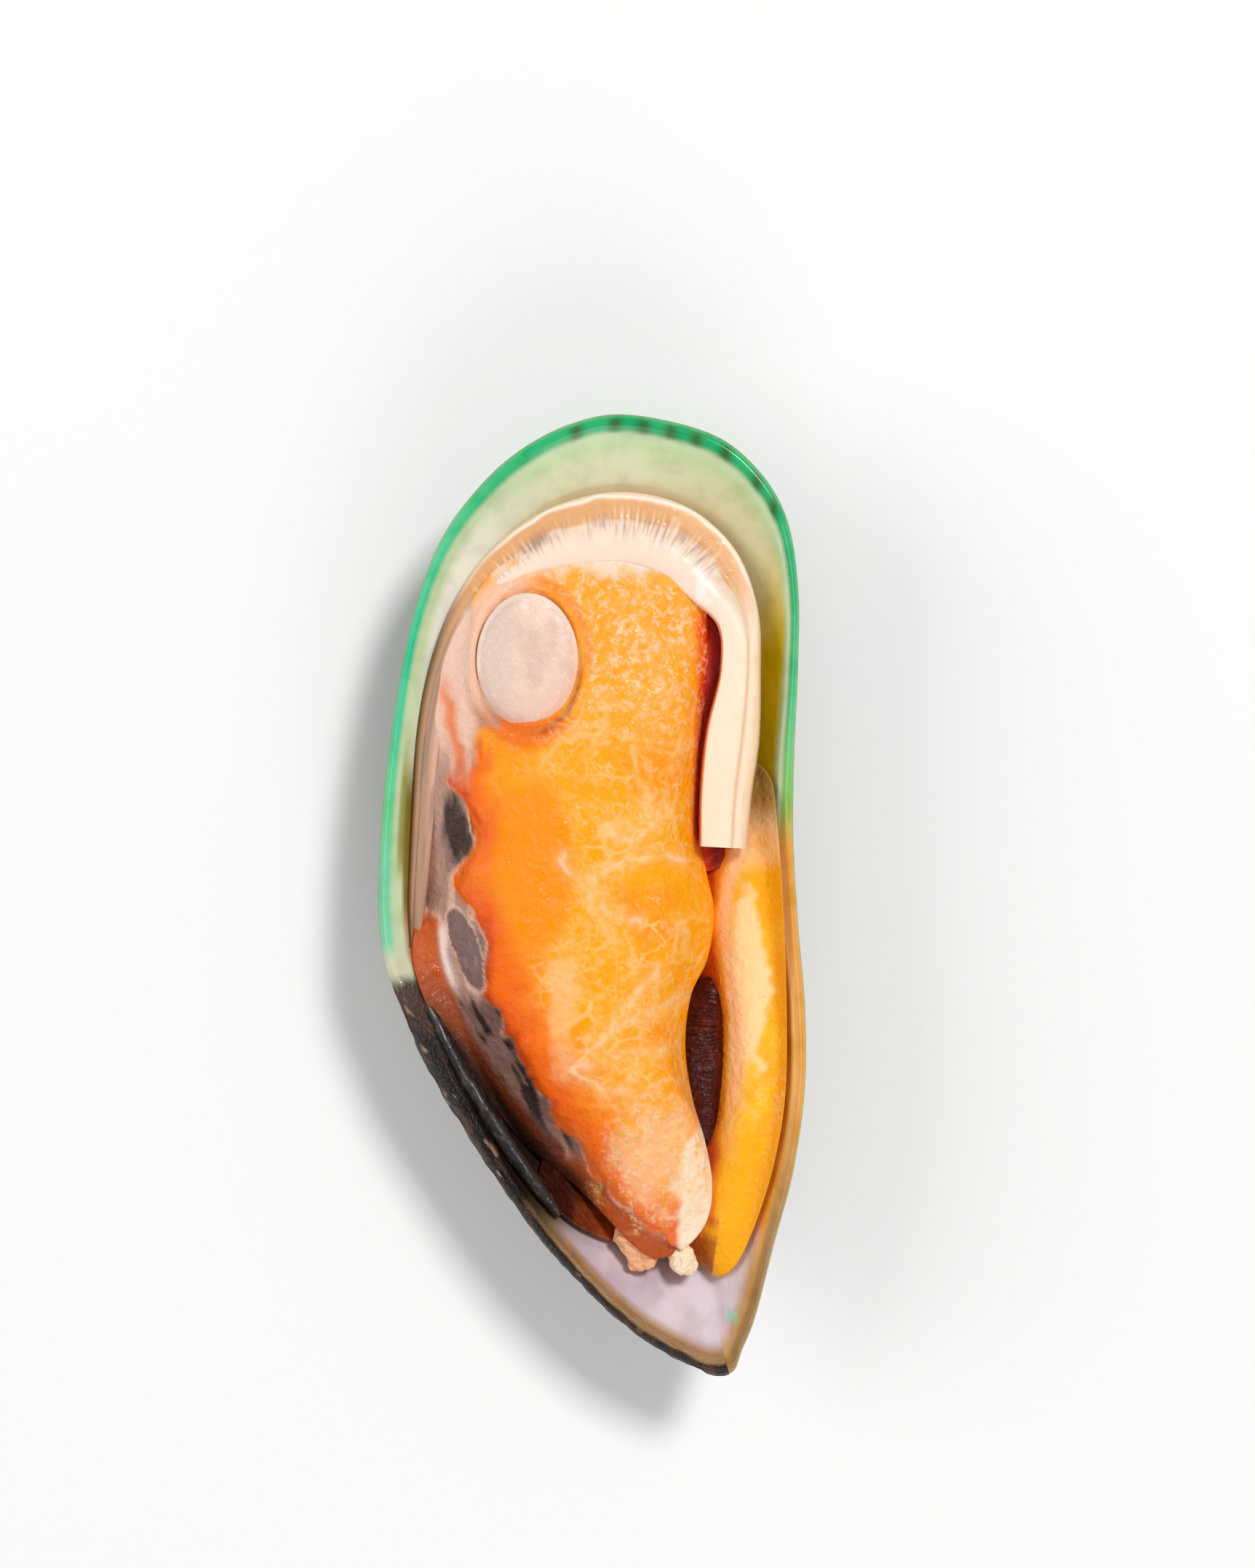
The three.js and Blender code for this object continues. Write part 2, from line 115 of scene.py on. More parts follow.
# Sections of the mantle edge, from the outer border over the top: across as a share, and down in millimetres
FRILL_SECTION = [
    (-1, -2.6), (-0.98, -2.1), (-0.8, -1.9), (-0.5, -1.75), (-0.28, -1.65), (-0.14, -1.1), (0.05, -0.45),
    (0.3, -0.08), (0.6, 0), (0.85, -0.2), (1, -0.7), (1, -2.4), (0.5, -3.2), (-0.5, -3.2),
]
STRIP_SECTION = [
    (-1, -1.6), (-0.99, -0.6), (-0.88, -0.2), (-0.62, -0.12), (-0.45, -0.16), (-0.37, -0.24), (-0.28, -0.14),
    (0.05, -0.02), (0.5, 0), (0.88, -0.1), (1, -0.5), (1, -2.4), (0.5, -3.2), (-0.5, -3.2),
]
STRIP_START = (0.7, 0.8)  # stretch of the mantle edge over which the frill becomes the cut strip

# Left border of the orange mass, where the thin grey membrane of the flank begins
ORANGE_BORDER = [
    (-9.5, 17.5), (-11.2, 17), (-13.4, 14.2), (-15.3, 12), (-13.4, 9.8), (-12.1, 6.4), (-13.1, 3.6),
    (-14.4, 0.7), (-13.1, -1.2), (-11.6, -4.8), (-11.3, -8.5), (-10.5, -12.1), (-8, -15.8), (-6.1, -19.5),
    (-4.3, -22.8), (-2.1, -25.7), (0.1, -29), (4.1, -33.4), (7.4, -35.9),
]
# Main pale veins of the orange mass
VEINS = [
    [(-3, 4.4), (-2.4, 2.5), (-1, 1.5), (0.9, -0.4), (2.6, -1.9), (5, -2.9)],
    [(-1, 1.5), (1.5, 2.5), (3.6, 3.6), (7.1, 4.3), (9.3, 3.8)],
    [(1.7, 7.4), (3.4, 5.8), (5.2, 6.3), (6.3, 7.9), (7.4, 9.3)],
    [(-2.8, -18.5), (0.4, -15.8), (2.6, -12.3), (5, -9.6), (6.6, -8)],
    [(-2.8, -18.5), (0.7, -16.9), (3.9, -16.3), (7.7, -15.5)],
    [(2, -13.9), (5, -12.3), (8.2, -11.2), (10.4, -10.7)],
    [(-2.8, -18.5), (0.7, -19.6), (3.4, -20.1)],
]
# Fold on the hinge flank, pale stripe of the far lobe and red ledge in the slit
FLANK_FOLD = [(-17.6, -3.4), (-17.1, -7.4), (-15, -13), (-12, -18), (-8.6, -22.6), (-4.6, -27)]
FAR_STRIPE = [
    (17.6, 10), (14.9, 4), (13.9, -1.4), (14.5, -8), (14.9, -13), (14.8, -19), (14.4, -25), (13.4, -33),
]
LEDGE = [
    (11.2, 31), (14.6, 30), (15.4, 21), (14.8, 12), (14.4, 4.4), (12.6, 2.6), (10, 3.4), (9.6, 12), (10, 22),
]
LIP_BARS = [4, -0.4, -3.6, -6.7, -9.75, -13.4, -17.8, -20.8]  # dark bars of the lip, in degrees of turn
GREEN_HEADING = np.array([-0.6, 0.8])  # where the lip is widest, seen from the deepest point
HINGE_HEADING = (0.62, -0.785)  # run of the hinge margin towards the beak

# Fineness of the meshes
SHELL_SIDES = 640
SHELL_RINGS = {"outer": 56, "lip": 14, "inner": 56}
BODY_SIDES = 560
BODY_RINGS = {"top": 84, "under": 8}
FAR_SIDES = 420
FAR_RINGS = 64
MUSCLE_SIDES = 240
MUSCLE_RINGS = 48
FOOT_SIDES = 240
FOOT_RINGS = 60
SMALL_SIDES = 160
SMALL_RINGS = 24
EDGE_STEPS = 900
EDGE_SIDES = 64
LIGAMENT_STEPS = 220
LIGAMENT_SIDES = 24


# Helpers for shapes


def smooth(value, start, end):
    share = np.clip((value - start) / (end - start), 0.0, 1.0)
    return share * share * (3.0 - 2.0 * share)


def mix(first, second, share):
    return first + (second - first) * share


def hump(value, centre, half):
    """1 at the centre, falling to 0 over about twice the half width."""
    return np.exp(-(((value - centre) / half) ** 2))


LATTICE = 256


@functools.cache
def lattice(seed):
    return np.random.default_rng(seed).uniform(-1, 1, (LATTICE, LATTICE))


def noise(x, y, size, seed):
    """Smooth values from -1 to 1, with features about size millimetres across."""
    table = lattice(seed)
    column = np.asarray(x) / size
    row = np.asarray(y) / size
    i = np.floor(column).astype(int)
    j = np.floor(row).astype(int)
    u = smooth(column - i, 0, 1)
    v = smooth(row - j, 0, 1)

    def at(di, dj):
        return table[(i + di) % LATTICE, (j + dj) % LATTICE]

    return mix(mix(at(0, 0), at(1, 0), u), mix(at(0, 1), at(1, 1), u), v)


def fractal(x, y, size, seed, octaves=3):
    total = 0.0
    for octave in range(octaves):
        total = total + noise(x, y, size / 2**octave, seed + octave) / 2**octave
    return total


def spline(points, count, closed):
    """Points of a smooth curve through the given ones."""
    points = np.array(points, float)
    if closed:
        padded = np.vstack([points[-1:], points, points[:2]])
        spans = len(points)
        at = np.arange(count) * spans / count
    else:
        padded = np.vstack([2 * points[0] - points[1], points, 2 * points[-1] - points[-2]])
        spans = len(points) - 1
        at = np.linspace(0, spans, count)
    index = np.minimum(at.astype(int), spans - 1)
    t = (at - index)[:, None]
    a, b, c, d = (padded[index + k] for k in range(4))
    bend = (2 * a - 5 * b + 4 * c - d) * t**2 + (3 * b - a - 3 * c + d) * t**3
    return 0.5 * (2 * b + (c - a) * t + bend)


def side_distance(points, x, y):
    """Distance to a line of points, positive on its left side when followed from first to last."""
    line = spline(points, 6 * len(points), closed=False)
    best = np.full(np.shape(x), 1e9)
    sign = np.ones(np.shape(x))
    for (ax, ay), (bx, by) in zip(line[:-1], line[1:]):
        ux, uy = bx - ax, by - ay
        along = np.clip(((x - ax) * ux + (y - ay) * uy) / (ux * ux + uy * uy), 0, 1)
        distance = np.hypot(x - ax - along * ux, y - ay - along * uy)
        nearer = distance < best
        best = np.where(nearer, distance, best)
        sign = np.where(nearer, np.sign(ux * (y - ay) - uy * (x - ax)), sign)
    return best * sign


def ellipse(x, y, centre, half):
    """0 at the centre of an ellipse and 1 on its border."""
    return np.hypot((x - centre[0]) / half[0], (y - centre[1]) / half[1])


def polar_reach(points, centre):
    """How far a closed curve lies from a centre, in the direction of x, y."""
    angle = np.arctan2(points[:, 1] - centre[1], points[:, 0] - centre[0])
    far = np.hypot(points[:, 0] - centre[0], points[:, 1] - centre[1])
    order = np.argsort(angle)

    def reach(x, y):
        turn = np.arctan2(y - centre[1], x - centre[0])
        return np.interp(turn, angle[order], far[order], period=2 * math.pi)

    return reach


def lip_width(points):
    heading = (points - DEEPEST) / np.linalg.norm(points - DEEPEST, axis=1)[:, None]
    green_side = heading @ GREEN_HEADING
    return mix(LIP_WIDTH["narrow"], LIP_WIDTH["wide"], smooth(green_side, -0.6, 0.5))


def inset(points, distance):
    heading = (points - DEEPEST) / np.linalg.norm(points - DEEPEST, axis=1)[:, None]
    return points - heading * np.reshape(distance, (-1, 1))


def bowl_power(y):
    share = smooth(y, BOWL_CHANGE["anterior"], BOWL_CHANGE["posterior"])
    return mix(BOWL_POWER["anterior"], BOWL_POWER["posterior"], share)


dense_rim = spline(SHELL_RIM, 1440, closed=True)
lip_reach = polar_reach(inset(dense_rim, lip_width(dense_rim)), DEEPEST)
beak_reach = polar_reach(dense_rim, BEAK)


def inner_height(x, y):
    share = np.hypot(x - DEEPEST[0], y - DEEPEST[1]) / lip_reach(x, y)
    return WALL + (RIM_HEIGHT - LIP_DROP - WALL) * np.minimum(1.05, share) ** bowl_power(y)


def growth(x, y):
    """Growth stage of a point of the shell: 0 at the beak and 1 on the rim."""
    return np.hypot(x - BEAK[0], y - BEAK[1]) / np.maximum(6.0, beak_reach(x, y))


def turn_of(x, y):
    """Degrees round the rim from the posterior end: positive to the hinge side, negative to the gape side."""
    degrees = np.degrees(np.arctan2(DEEPEST[0] - x, y - DEEPEST[1]))
    beak_turn = -165.0
    return np.where(degrees < beak_turn, degrees + 360.0, degrees)


# Helpers for colours and meshes


def linear(hex_colour):
    channels = np.array([int(hex_colour[i : i + 2], 16) for i in (1, 3, 5)]) / 255.0
    return np.where(channels <= 0.04045, channels / 12.92, ((channels + 0.055) / 1.055) ** 2.4)


class Paint:
    """Colours of a surface's points, laid on in coats."""

    def __init__(self, shape, hex_colour):
        self.rgb = np.broadcast_to(linear(hex_colour), (*shape, 3)).copy()

    def over(self, hex_colour, cover):
        self.rgb += (linear(hex_colour) - self.rgb) * np.clip(cover, 0, 1)[..., None]


def surface_normals(grid):
    """Unit normals of a grid of points whose second axis is closed."""
    across = np.gradient(grid, axis=0)
    along = np.roll(grid, -1, axis=1) - np.roll(grid, 1, axis=1)
    normal = np.cross(along, across)
    return normal / np.maximum(1e-9, np.linalg.norm(normal, axis=2, keepdims=True))


def make_piece(name, loops, node, material, tint, masks=None, sharp_degrees=None):
    """A closed mesh over loops of points in millimetres, with its colours and masks, in place of a solid."""
    count, sides = loops.shape[:2]
    points = np.vstack([loops[0].mean(0), loops.reshape(-1, 3), loops[-1].mean(0)]) * MM
    ring = 1 + np.arange(count * sides).reshape(count, sides)
    nxt = np.roll(ring, -1, axis=1)
    quads = np.stack([ring[:-1], nxt[:-1], nxt[1:], ring[1:]], -1).reshape(-1, 4)
    end = len(points) - 1
    first = np.stack([np.zeros(sides, int), nxt[0], ring[0]], -1)
    last = np.stack([ring[-1], nxt[-1], np.full(sides, end)], -1)
    mesh = bpy.data.meshes.new(name)
    mesh.from_pydata(points.tolist(), [], quads.tolist() + first.tolist() + last.tolist())

    def with_ends(values):
        rows = values.reshape(-1, *values.shape[2:])
        return np.concatenate([values[0].mean(0)[None], rows, values[-1].mean(0)[None]])

    colour = mesh.attributes.new("tint", "FLOAT_COLOR", "POINT")
    channels = np.ones((len(points), 4))
    channels[:, :3] = with_ends(tint.rgb)
    colour.data.foreach_set("color", channels.ravel())
    for mask_name, values in (masks or {}).items():
        attribute = mesh.attributes.new(mask_name, "FLOAT", "POINT")
        attribute.data.foreach_set("value", with_ends(np.broadcast_to(values, (count, sides))).astype(float))
    mesh.shade_smooth()
    if sharp_degrees:
        mesh.set_sharp_from_angle(angle=math.radians(sharp_degrees))
    mesh.materials.append(material)
    piece = bpy.data.objects.new(name, mesh)
    bpy.context.collection.objects.link(piece)
    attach(piece, "root")
    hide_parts(node)


def pillow_loops(outline, sides, shares, top, bottom, under=8):
    """Loops of a closed body over an outline. Heights follow from x, y and the share outward."""
    border = spline(outline, sides, closed=True)
    middle = border.mean(0)

    def rings(ring_shares, height):
        share = np.broadcast_to(np.asarray(ring_shares)[:, None], (len(ring_shares), sides))
        plan = middle + share[..., None] * (border - middle)
        x, y = plan[..., 0], plan[..., 1]
        return np.dstack([x, y, height(x, y, share)]), share

    under_loops, under_share = rings(np.linspace(0.05, 1, under), bottom)
    over_loops, over_share = rings(shares[::-1], top)
    return np.vstack([under_loops, over_loops]), np.vstack([under_share, over_share])


def ring_shares(count):
    """Shares from near the middle to the border, closer together towards the border."""
    return np.linspace(0.02, 1, count) ** 0.75


# Helpers for materials


class Shader:
    """A material and short ways to add nodes to it."""

    def __init__(self, name):
        self.material = bpy.data.materials.new(name)
        self.material.use_nodes = True
        self.tree = self.material.node_tree
        self.surface = self.tree.nodes["Principled BSDF"]

    def node(self, kind, inputs=None, **settings):
        made = self.tree.nodes.new("ShaderNode" + kind)
        for key, value in settings.items():
            setattr(made, key, value)
        for key, value in (inputs or {}).items():
            self.put(made.inputs[key], value)
        return made

    def put(self, socket, value):
        if isinstance(value, bpy.types.NodeSocket):
            self.tree.links.new(value, socket)
        else:
            socket.default_value = value

    def mask(self, name):
        return self.node("Attribute", attribute_name=name).outputs["Fac"]

    def colour(self):
        return self.node("Attribute", attribute_name="tint").outputs["Color"]

    def place(self):
        """Millimetres of the part's frame."""
        where = self.node("TexCoord").outputs["Object"]
        return self.node("VectorMath", {0: where, "Scale": 1 / MM}, operation="SCALE").outputs["Vector"]

    def math(self, operation, first, second):
        return self.node("Math", {0: first, 1: second}, operation=operation).outputs[0]

    def times(self, first, second):
        return self.math("MULTIPLY", first, second)

    def ramp(self, value, start, end):
        inputs = {"Value": value, "From Min": start, "From Max": end}
        return self.node("MapRange", inputs, interpolation_type="SMOOTHSTEP").outputs["Result"]

    def noise(self, where, per_mm, detail):
        return self.node("TexNoise", {"Vector": where, "Scale": per_mm, "Detail": detail}).outputs["Fac"]

    def cell_edges(self, where, per_mm):
        """Distance to the nearest border between cells."""
        inputs = {"Vector": where, "Scale": per_mm}
        return self.node("TexVoronoi", inputs, feature="DISTANCE_TO_EDGE").outputs["Distance"]

    def warp(self, where, per_mm, distance):
        swirl = self.node("TexNoise", {"Vector": where, "Scale": per_mm, "Detail": 2.0}).outputs["Color"]
        middle = (0.5, 0.5, 0.5)
        shift = self.node("VectorMath", {0: swirl, 1: middle}, operation="SUBTRACT").outputs["Vector"]
        push = self.node("VectorMath", {0: shift, "Scale": distance}, operation="SCALE").outputs["Vector"]
        return self.node("VectorMath", {0: where, 1: push}, operation="ADD").outputs["Vector"]

    def blend(self, first, second, share):
        made = self.node("Mix", data_type="RGBA")
        for index, value in ((0, share), (6, first), (7, second)):
            self.put(made.inputs[index], value)
        return made.outputs[2]

    def bump(self, height, distance_mm):
        inputs = {"Height": height, "Distance": distance_mm * MM, "Strength": 1.0}
        self.put(self.surface.inputs["Normal"], self.node("Bump", inputs).outputs["Normal"])

    def set(self, **values):
        for key, value in values.items():
            self.put(self.surface.inputs[key.replace("_", " ")], value)

    def wet_patches(self, patches, dull, glossy):
        """Roughness that falls from dull to glossy where patches rises to 1."""
        inputs = {"Value": patches, "To Min": dull, "To Max": glossy}
        self.set(Roughness=self.node("MapRange", inputs).outputs["Result"])


def rgba(hex_colour):
    return (*linear(hex_colour), 1.0)


def flesh(shader, weight, scale_mm):
    """Light that soaks into wet meat."""
    shader.set(Subsurface_Weight=weight, Subsurface_Scale=scale_mm * MM, Subsurface_Radius=(1.0, 0.45, 0.2))


# Shell


def shell_material():
    shader = Shader("shell")
    where = shader.place()
    tint = shader.colour()
    cloud = shader.noise(shader.warp(where, 0.15, 3.0), 0.35, 4.0)
    deeper = shader.node("HueSaturation", {"Color": tint, "Value": 0.88, "Saturation": 1.08}).outputs["Color"]
    clouded = shader.blend(tint, deeper, shader.ramp(cloud, 0.4, 0.7))
    outside = shader.mask("outside")
    line_place = shader.node("CombineXYZ", {"X": shader.mask("stage"), "Y": shader.mask("round")}).outputs[0]
    lines = shader.noise(line_place, 0.9, 5.0)
    dark_line = shader.times(shader.ramp(lines, 0.52, 0.66), outside)
    pale_line = shader.times(shader.ramp(lines, 0.42, 0.3), outside)
    lined = shader.blend(clouded, rgba("#17110D"), shader.times(dark_line, 0.7))
    shader.set(Base_Color=shader.blend(lined, rgba("#8A7446"), shader.times(pale_line, 0.45)))
    shader.set(Roughness=shader.mask("dull"))
    grain = shader.noise(where, 3.0, 4.0)
    rough = shader.times(grain, shader.mask("grain"))
    shader.bump(shader.math("ADD", rough, shader.times(lines, outside)), 0.3)
    shader.set(Subsurface_Weight=0.1, Subsurface_Scale=1.0 * MM, Subsurface_Radius=(1.0, 0.8, 0.5))
    return shader.material


def paint_lip(turn, across):
    paint = Paint(turn.shape, "#66CE90")
    paint.over("#28B472", smooth(turn, 30, 6) * smooth(turn, -52, -20))
    paint.over("#40C898", hump(turn, 38, 15))
    paint.over("#78CFA6", smooth(turn, 62, 78))
    paint.over("#7FBF5E", smooth(turn, -36, -52))
    green_share = mix(0.7, 0.52, smooth(turn, 10, 40))
    inner = smooth(across, green_share - 0.12, green_share + 0.18) * smooth(turn, -66, -50)
    paint.over("#C6D8AC", inner)
    paint.over("#9A9650", inner * smooth(across, 0.72, 0.9) * smooth(turn, 44, 54) * smooth(turn, 78, 68))
    paint.over("#E8A040", smooth(turn, -50, -66))
    paint.over("#F0C686", smooth(turn, -58, -70) * smooth(across, 0.4, 0.75) * 0.7)
    paint.over("#A88250", smooth(turn, -128, -156))
    bar_reach = smooth(across, 0.05, 0.3) * smooth(across, 0.9, 0.6)
    for bar in LIP_BARS:
        paint.over("#3E5A26", 0.85 * hump(turn, bar, 0.85) * bar_reach)
    paint.over("#9DBE72", 0.6 * smooth(across, 0.14, 0.02) * smooth(turn, 96, 88))
    paint.over("#D6D4B4", smooth(turn, 91, 98))
    return paint


def paint_nacre(x, y, turn, deep):
    paint = Paint(turn.shape, "#E2CCA0")
    arcs = noise(growth(x, y) * 100, turn * 0.03, 1.6, 21)
    top = smooth(turn, 80, 50) * smooth(turn, -75, -45)
    paint.over("#D6D8AE", top * smooth(deep, 6.0, 2.5))
    paint.over("#C2D69C", top * smooth(deep, 2.4, 0.3))
    paint.over("#EEEEE0", smooth(turn, 6, 24) * top * smooth(deep, 0.0, 1.0))
    paint.over("#DACF9C", smooth(turn, -6, -26) * top * smooth(deep, 0.3, 2.0))
    paint.over("#F0ECD2", top * 0.3 * smooth(arcs, 0.2, 0.8))
    # Bright yellow on the gape-side wall: the shell's own yellow, painted brighter as light shining through
    # it.
    paint.over("#E8C41A", smooth(turn, -21, -31) * smooth(turn, -72, -56) * smooth(deep, 0.3, 1.2))
    paint.over("#F0AC48", smooth(turn, -52, -66))
    paint.over("#E8962A", smooth(turn, -56, -70) * smooth(deep, 0.6, 2.2))
    flank = smooth(turn, 44, 58) * smooth(turn, 200, 150)
    # Olive and dark brown on the steep hinge-side wall: painted shade on the nacre there.
    paint.over("#84702C", flank * smooth(deep, -0.2, 0.4))
    paint.over("#8A5E34", flank * smooth(deep, 0.6, 1.6))
    paint.over("#C8A080", smooth(turn, 80, 88) * smooth(turn, 106, 98) * smooth(deep, 1.4, 0.2))
    # Near black on the nacre along the hinge side: painted shade.
    paint.over("#281A14", smooth(turn, 99, 107) * smooth(turn, 180, 160))
    pocket = smooth(y, -33, -38)
    paint.over("#E4D8E0", pocket * smooth(deep, 0.2, 1.6))
    paint.over("#B6A0B4", pocket * 0.4 * smooth(fractal(x, y, 4.0, 25), 0.0, 0.8))
    paint.over("#CFA060", pocket * smooth(turn, -150, -158) * smooth(deep, 3.0, 1.0) * 0.8)
    paint.over("#A87A48", pocket * smooth(turn, 158, 166) * smooth(deep, 1.8, 0.6) * 0.9)
    paint.over("#8FDAB8", 0.8 * smooth(ellipse(x, y, (14.6, -44), (0.9, 0.9)), 1.0, 0.3))
    return paint


def paint_outside(x, y, turn, stage):
    paint = Paint(turn.shape, "#3A2A1B")
    margin = smooth(stage, 0.8, 0.97)
    green = smooth(turn, 100, 80) * smooth(turn, -80, -55)
    paint.over("#5B4324", smooth(noise(stage * 100, turn * 0.1, 5.0, 31), 0.0, 0.6) * 0.8)
    paint.over("#2C8A5E", margin * green)
    rays = smooth(noise(turn, stage, 2.2, 33), 0.15, 0.6)
    paint.over("#4A3A1E", margin * green * rays * 0.8)
    paint.over("#1E1712", 0.6 * smooth(noise(stage * 100, turn * 0.06, 4.0, 35), 0.3, 0.7))
    umbo = np.hypot(x - BEAK[0], y - BEAK[1]) + 4 * fractal(x, y, 5.0, 37)
    paint.over("#8F7A80", smooth(umbo, 20, 11) * 0.8)
    paint.over("#D6CBD0", smooth(umbo, 12, 5))
    return paint


def paint_hinge(paint, x, y, turn, cover):
    """The rough, worn skin of the hinge margin and of the edge down to the beak."""
    hinge = smooth(turn, 100, 105) * cover
    ahead_x, ahead_y = HINGE_HEADING
    along, aside = ahead_x * x + ahead_y * y, ahead_x * y - ahead_y * x
    paint.over("#17100D", hinge)
    paint.over("#4A3223", hinge * smooth(fractal(along * 0.4, aside, 0.8, 41), 0.0, 0.6) * 0.9)
    paint.over("#B08E78", hinge * smooth(fractal(along * 0.3, aside, 0.5, 45), 0.7, 1.1))


def make_shell():
    rim = spline(SHELL_RIM, SHELL_SIDES, closed=True)
    width = lip_width(rim)
    lip = inset(rim, width)
    turn_row = turn_of(rim[:, 0], rim[:, 1])

    share = (np.linspace(0.01, 1, SHELL_RINGS["outer"] + 1)[:-1] ** 0.8)[:, None]
    plan = DEEPEST + share[..., None] * (rim - DEEPEST)
    rise = RIM_HEIGHT - EDGE_DROP + WORN_FLAT
    z = np.maximum(0.0, rise * share ** bowl_power(plan[..., 1]) - WORN_FLAT)
    outer = np.dstack([plan, z])

    across = np.linspace(0, 1, SHELL_RINGS["lip"])[:, None]
    plan = rim + across[..., None] * (lip - rim)
    edge_fall = EDGE_DROP * smooth(across, 0.3, 0.0)
    lip_fall = LIP_DROP * smooth(across, 0.3, 1.1) / smooth(1.0, 0.3, 1.1)
    z = RIM_HEIGHT - edge_fall - lip_fall
    crest = np.dstack([plan, np.broadcast_to(z, plan.shape[:2])])

    inner_share = (np.linspace(1, 0.01, SHELL_RINGS["inner"] + 1)[1:] ** 0.8)[:, None]
    plan = DEEPEST + inner_share[..., None] * (lip - DEEPEST)
    inner = np.dstack([plan, inner_height(plan[..., 0], plan[..., 1])])

    loops = np.vstack([outer, crest, inner])
    shape = loops.shape[:2]
    n_outer, n_lip = SHELL_RINGS["outer"], SHELL_RINGS["lip"]
    out_rows = slice(0, n_outer)
    lip_rows = slice(n_outer, n_outer + n_lip)
    in_rows = slice(n_outer + n_lip, None)
    turn = np.broadcast_to(turn_row, shape)
    x, y = loops[..., 0], loops[..., 1]
    outside = np.zeros(shape)
    outside[out_rows] = 1.0
    on_lip = np.zeros(shape)
    on_lip[lip_rows] = 1.0
    deep = np.zeros(shape)
    deep[in_rows] = np.linalg.norm(lip - DEEPEST, axis=1) * (1 - inner_share)
    stage = growth(x, y)

    near_rim = np.zeros(shape)
    near_rim[out_rows] = smooth(share, 0.8, 0.97)
    near_rim[lip_rows] = 1.0
    near_rim[in_rows] = smooth(deep[in_rows], 1.6, 0.4) * smooth(turn[in_rows], 165, 130)
    hinge = smooth(turn, 101, 108) * near_rim
    rings = 0.1 * noise(stage * 100, turn * 0.05, 4.0, 51) + 0.16 * noise(stage * 100, turn * 0.03, 8.0, 52)
    rough = 0.12 * fractal(x, y, 1.4, 53) * hinge
    ripple = 0.03 * noise(stage * 100, turn * 0.03, 1.8, 55) * (1 - outside)
    fade = smooth(np.hypot(x - DEEPEST[0], y - DEEPEST[1]), 8.0, 16.0)
    lift = (rings * outside * (1 - 0.7 * near_rim) + ripple * (1 - on_lip)) * fade + rough
    normal = surface_normals(loops)
    normal *= np.sign((normal[2, 0, 2] < 0) - 0.5)
    loops = loops + normal * lift[..., None]
    loops[..., 2] = np.maximum(0.0, loops[..., 2])

    paint = Paint(shape, "#808080")
    paint.rgb[out_rows] = paint_outside(x[out_rows], y[out_rows], turn[out_rows], stage[out_rows]).rgb
    paint.rgb[lip_rows] = paint_lip(turn[lip_rows], np.broadcast_to(across, (n_lip, SHELL_SIDES))).rgb
    paint.rgb[in_rows] = paint_nacre(x[in_rows], y[in_rows], turn[in_rows], deep[in_rows]).rgb
    paint_hinge(paint, x, y, turn, near_rim)
    tan_line = np.zeros(shape)
    tan_line[lip_rows] = smooth(across, 0.62, 0.85)
    paint.over("#A8875F", tan_line * smooth(turn, 160, 174))
    dull = mix(0.18, 0.42, outside)
    masks = {
        "dull": mix(dull, 0.4, hinge),
        "grain": mix(0.25 * outside, 1.0, hinge),
        "outside": outside * smooth(stage, 0.12, 0.3) * (1 - 0.6 * near_rim),
        "stage": stage * 100,
        "round": np.abs(turn) * 0.04,
    }
    make_piece("shell_valve", loops, "shell", shell_material(), paint, masks)


# Hinge ligament


def make_ligament():
    line = spline(LIGAMENT_LINE, LIGAMENT_STEPS, closed=False)
    tangent = np.gradient(line, axis=0)
    tangent /= np.linalg.norm(tangent, axis=1)[:, None]
    share = np.linspace(0, 1, LIGAMENT_STEPS)
    taper = (0.3 + 0.7 * np.sqrt(np.sin(math.pi * share).clip(0)))[:, None]
    around = np.linspace(0, 2 * math.pi, LIGAMENT_SIDES, endpoint=False)[None]
    ragged = 1 + 0.07 * noise(share[:, None] * 18, around * 2, 1.0, 61)
    sideways = np.cos(around) * LIGAMENT["half_width"] * taper * ragged
    upward = np.sin(around) * LIGAMENT["half_height"] * taper * ragged
    x = line[:, :1] - tangent[:, 1:] * sideways
    y = line[:, 1:] + tangent[:, :1] * sideways
    loops = np.dstack([x, y, LIGAMENT["z"] + upward])
    paint = Paint(x.shape, "#14100E")
    paint.over("#4A342A", smooth(noise(share[:, None] * 70, around * 3, 1.6, 63), 0.35, 0.8))
    shader = Shader("ligament")
    streaks = shader.noise(shader.place(), 1.5, 5.0)
    brown = shader.blend(shader.colour(), rgba("#3A2A22"), shader.ramp(streaks, 0.55, 0.75))
    shader.set(Base_Color=brown, Roughness=shader.ramp(streaks, 1.0, -0.1))
    shader.set(Coat_Weight=0.3, Coat_Roughness=0.2)
    shader.bump(streaks, 0.1)
    make_piece("ligament_band", loops, "hinge_ligament", shader.material, paint)


# Near mantle lobe


def near_top(x, y, out):
    hinge = smooth(-y, -12, 8) * smooth(-x, -6, 4)
    gape = smooth(x, 2, 10)
    border = mix(mix(MEAT_BORDER["posterior"], MEAT_BORDER["hinge"], hinge), MEAT_BORDER["gape"], gape)
    border = mix(border, MEAT_BORDER["posterior"], smooth(y, 26, 33))
    border = np.maximum(border, inner_height(x, y) + FLANK_SHEET)
    return mix(MEAT_CROWN - MEAT_CROWN_FALL * y * y, border, out**4)


def adductor_share(x, y):
    return ellipse(x, y, (ADDUCTOR["x"], ADDUCTOR["y"]), (ADDUCTOR["half_width"], ADDUCTOR["half_length"]))


def orange_side(x, y):
    """Distance from the border of the orange mass, positive inside it."""
    distance = side_distance(ORANGE_BORDER, x, y)
    beside_muscle = (x > ORANGE_BORDER[0][0]) & (y > 10)
    return np.where(beside_muscle, np.abs(distance), distance)


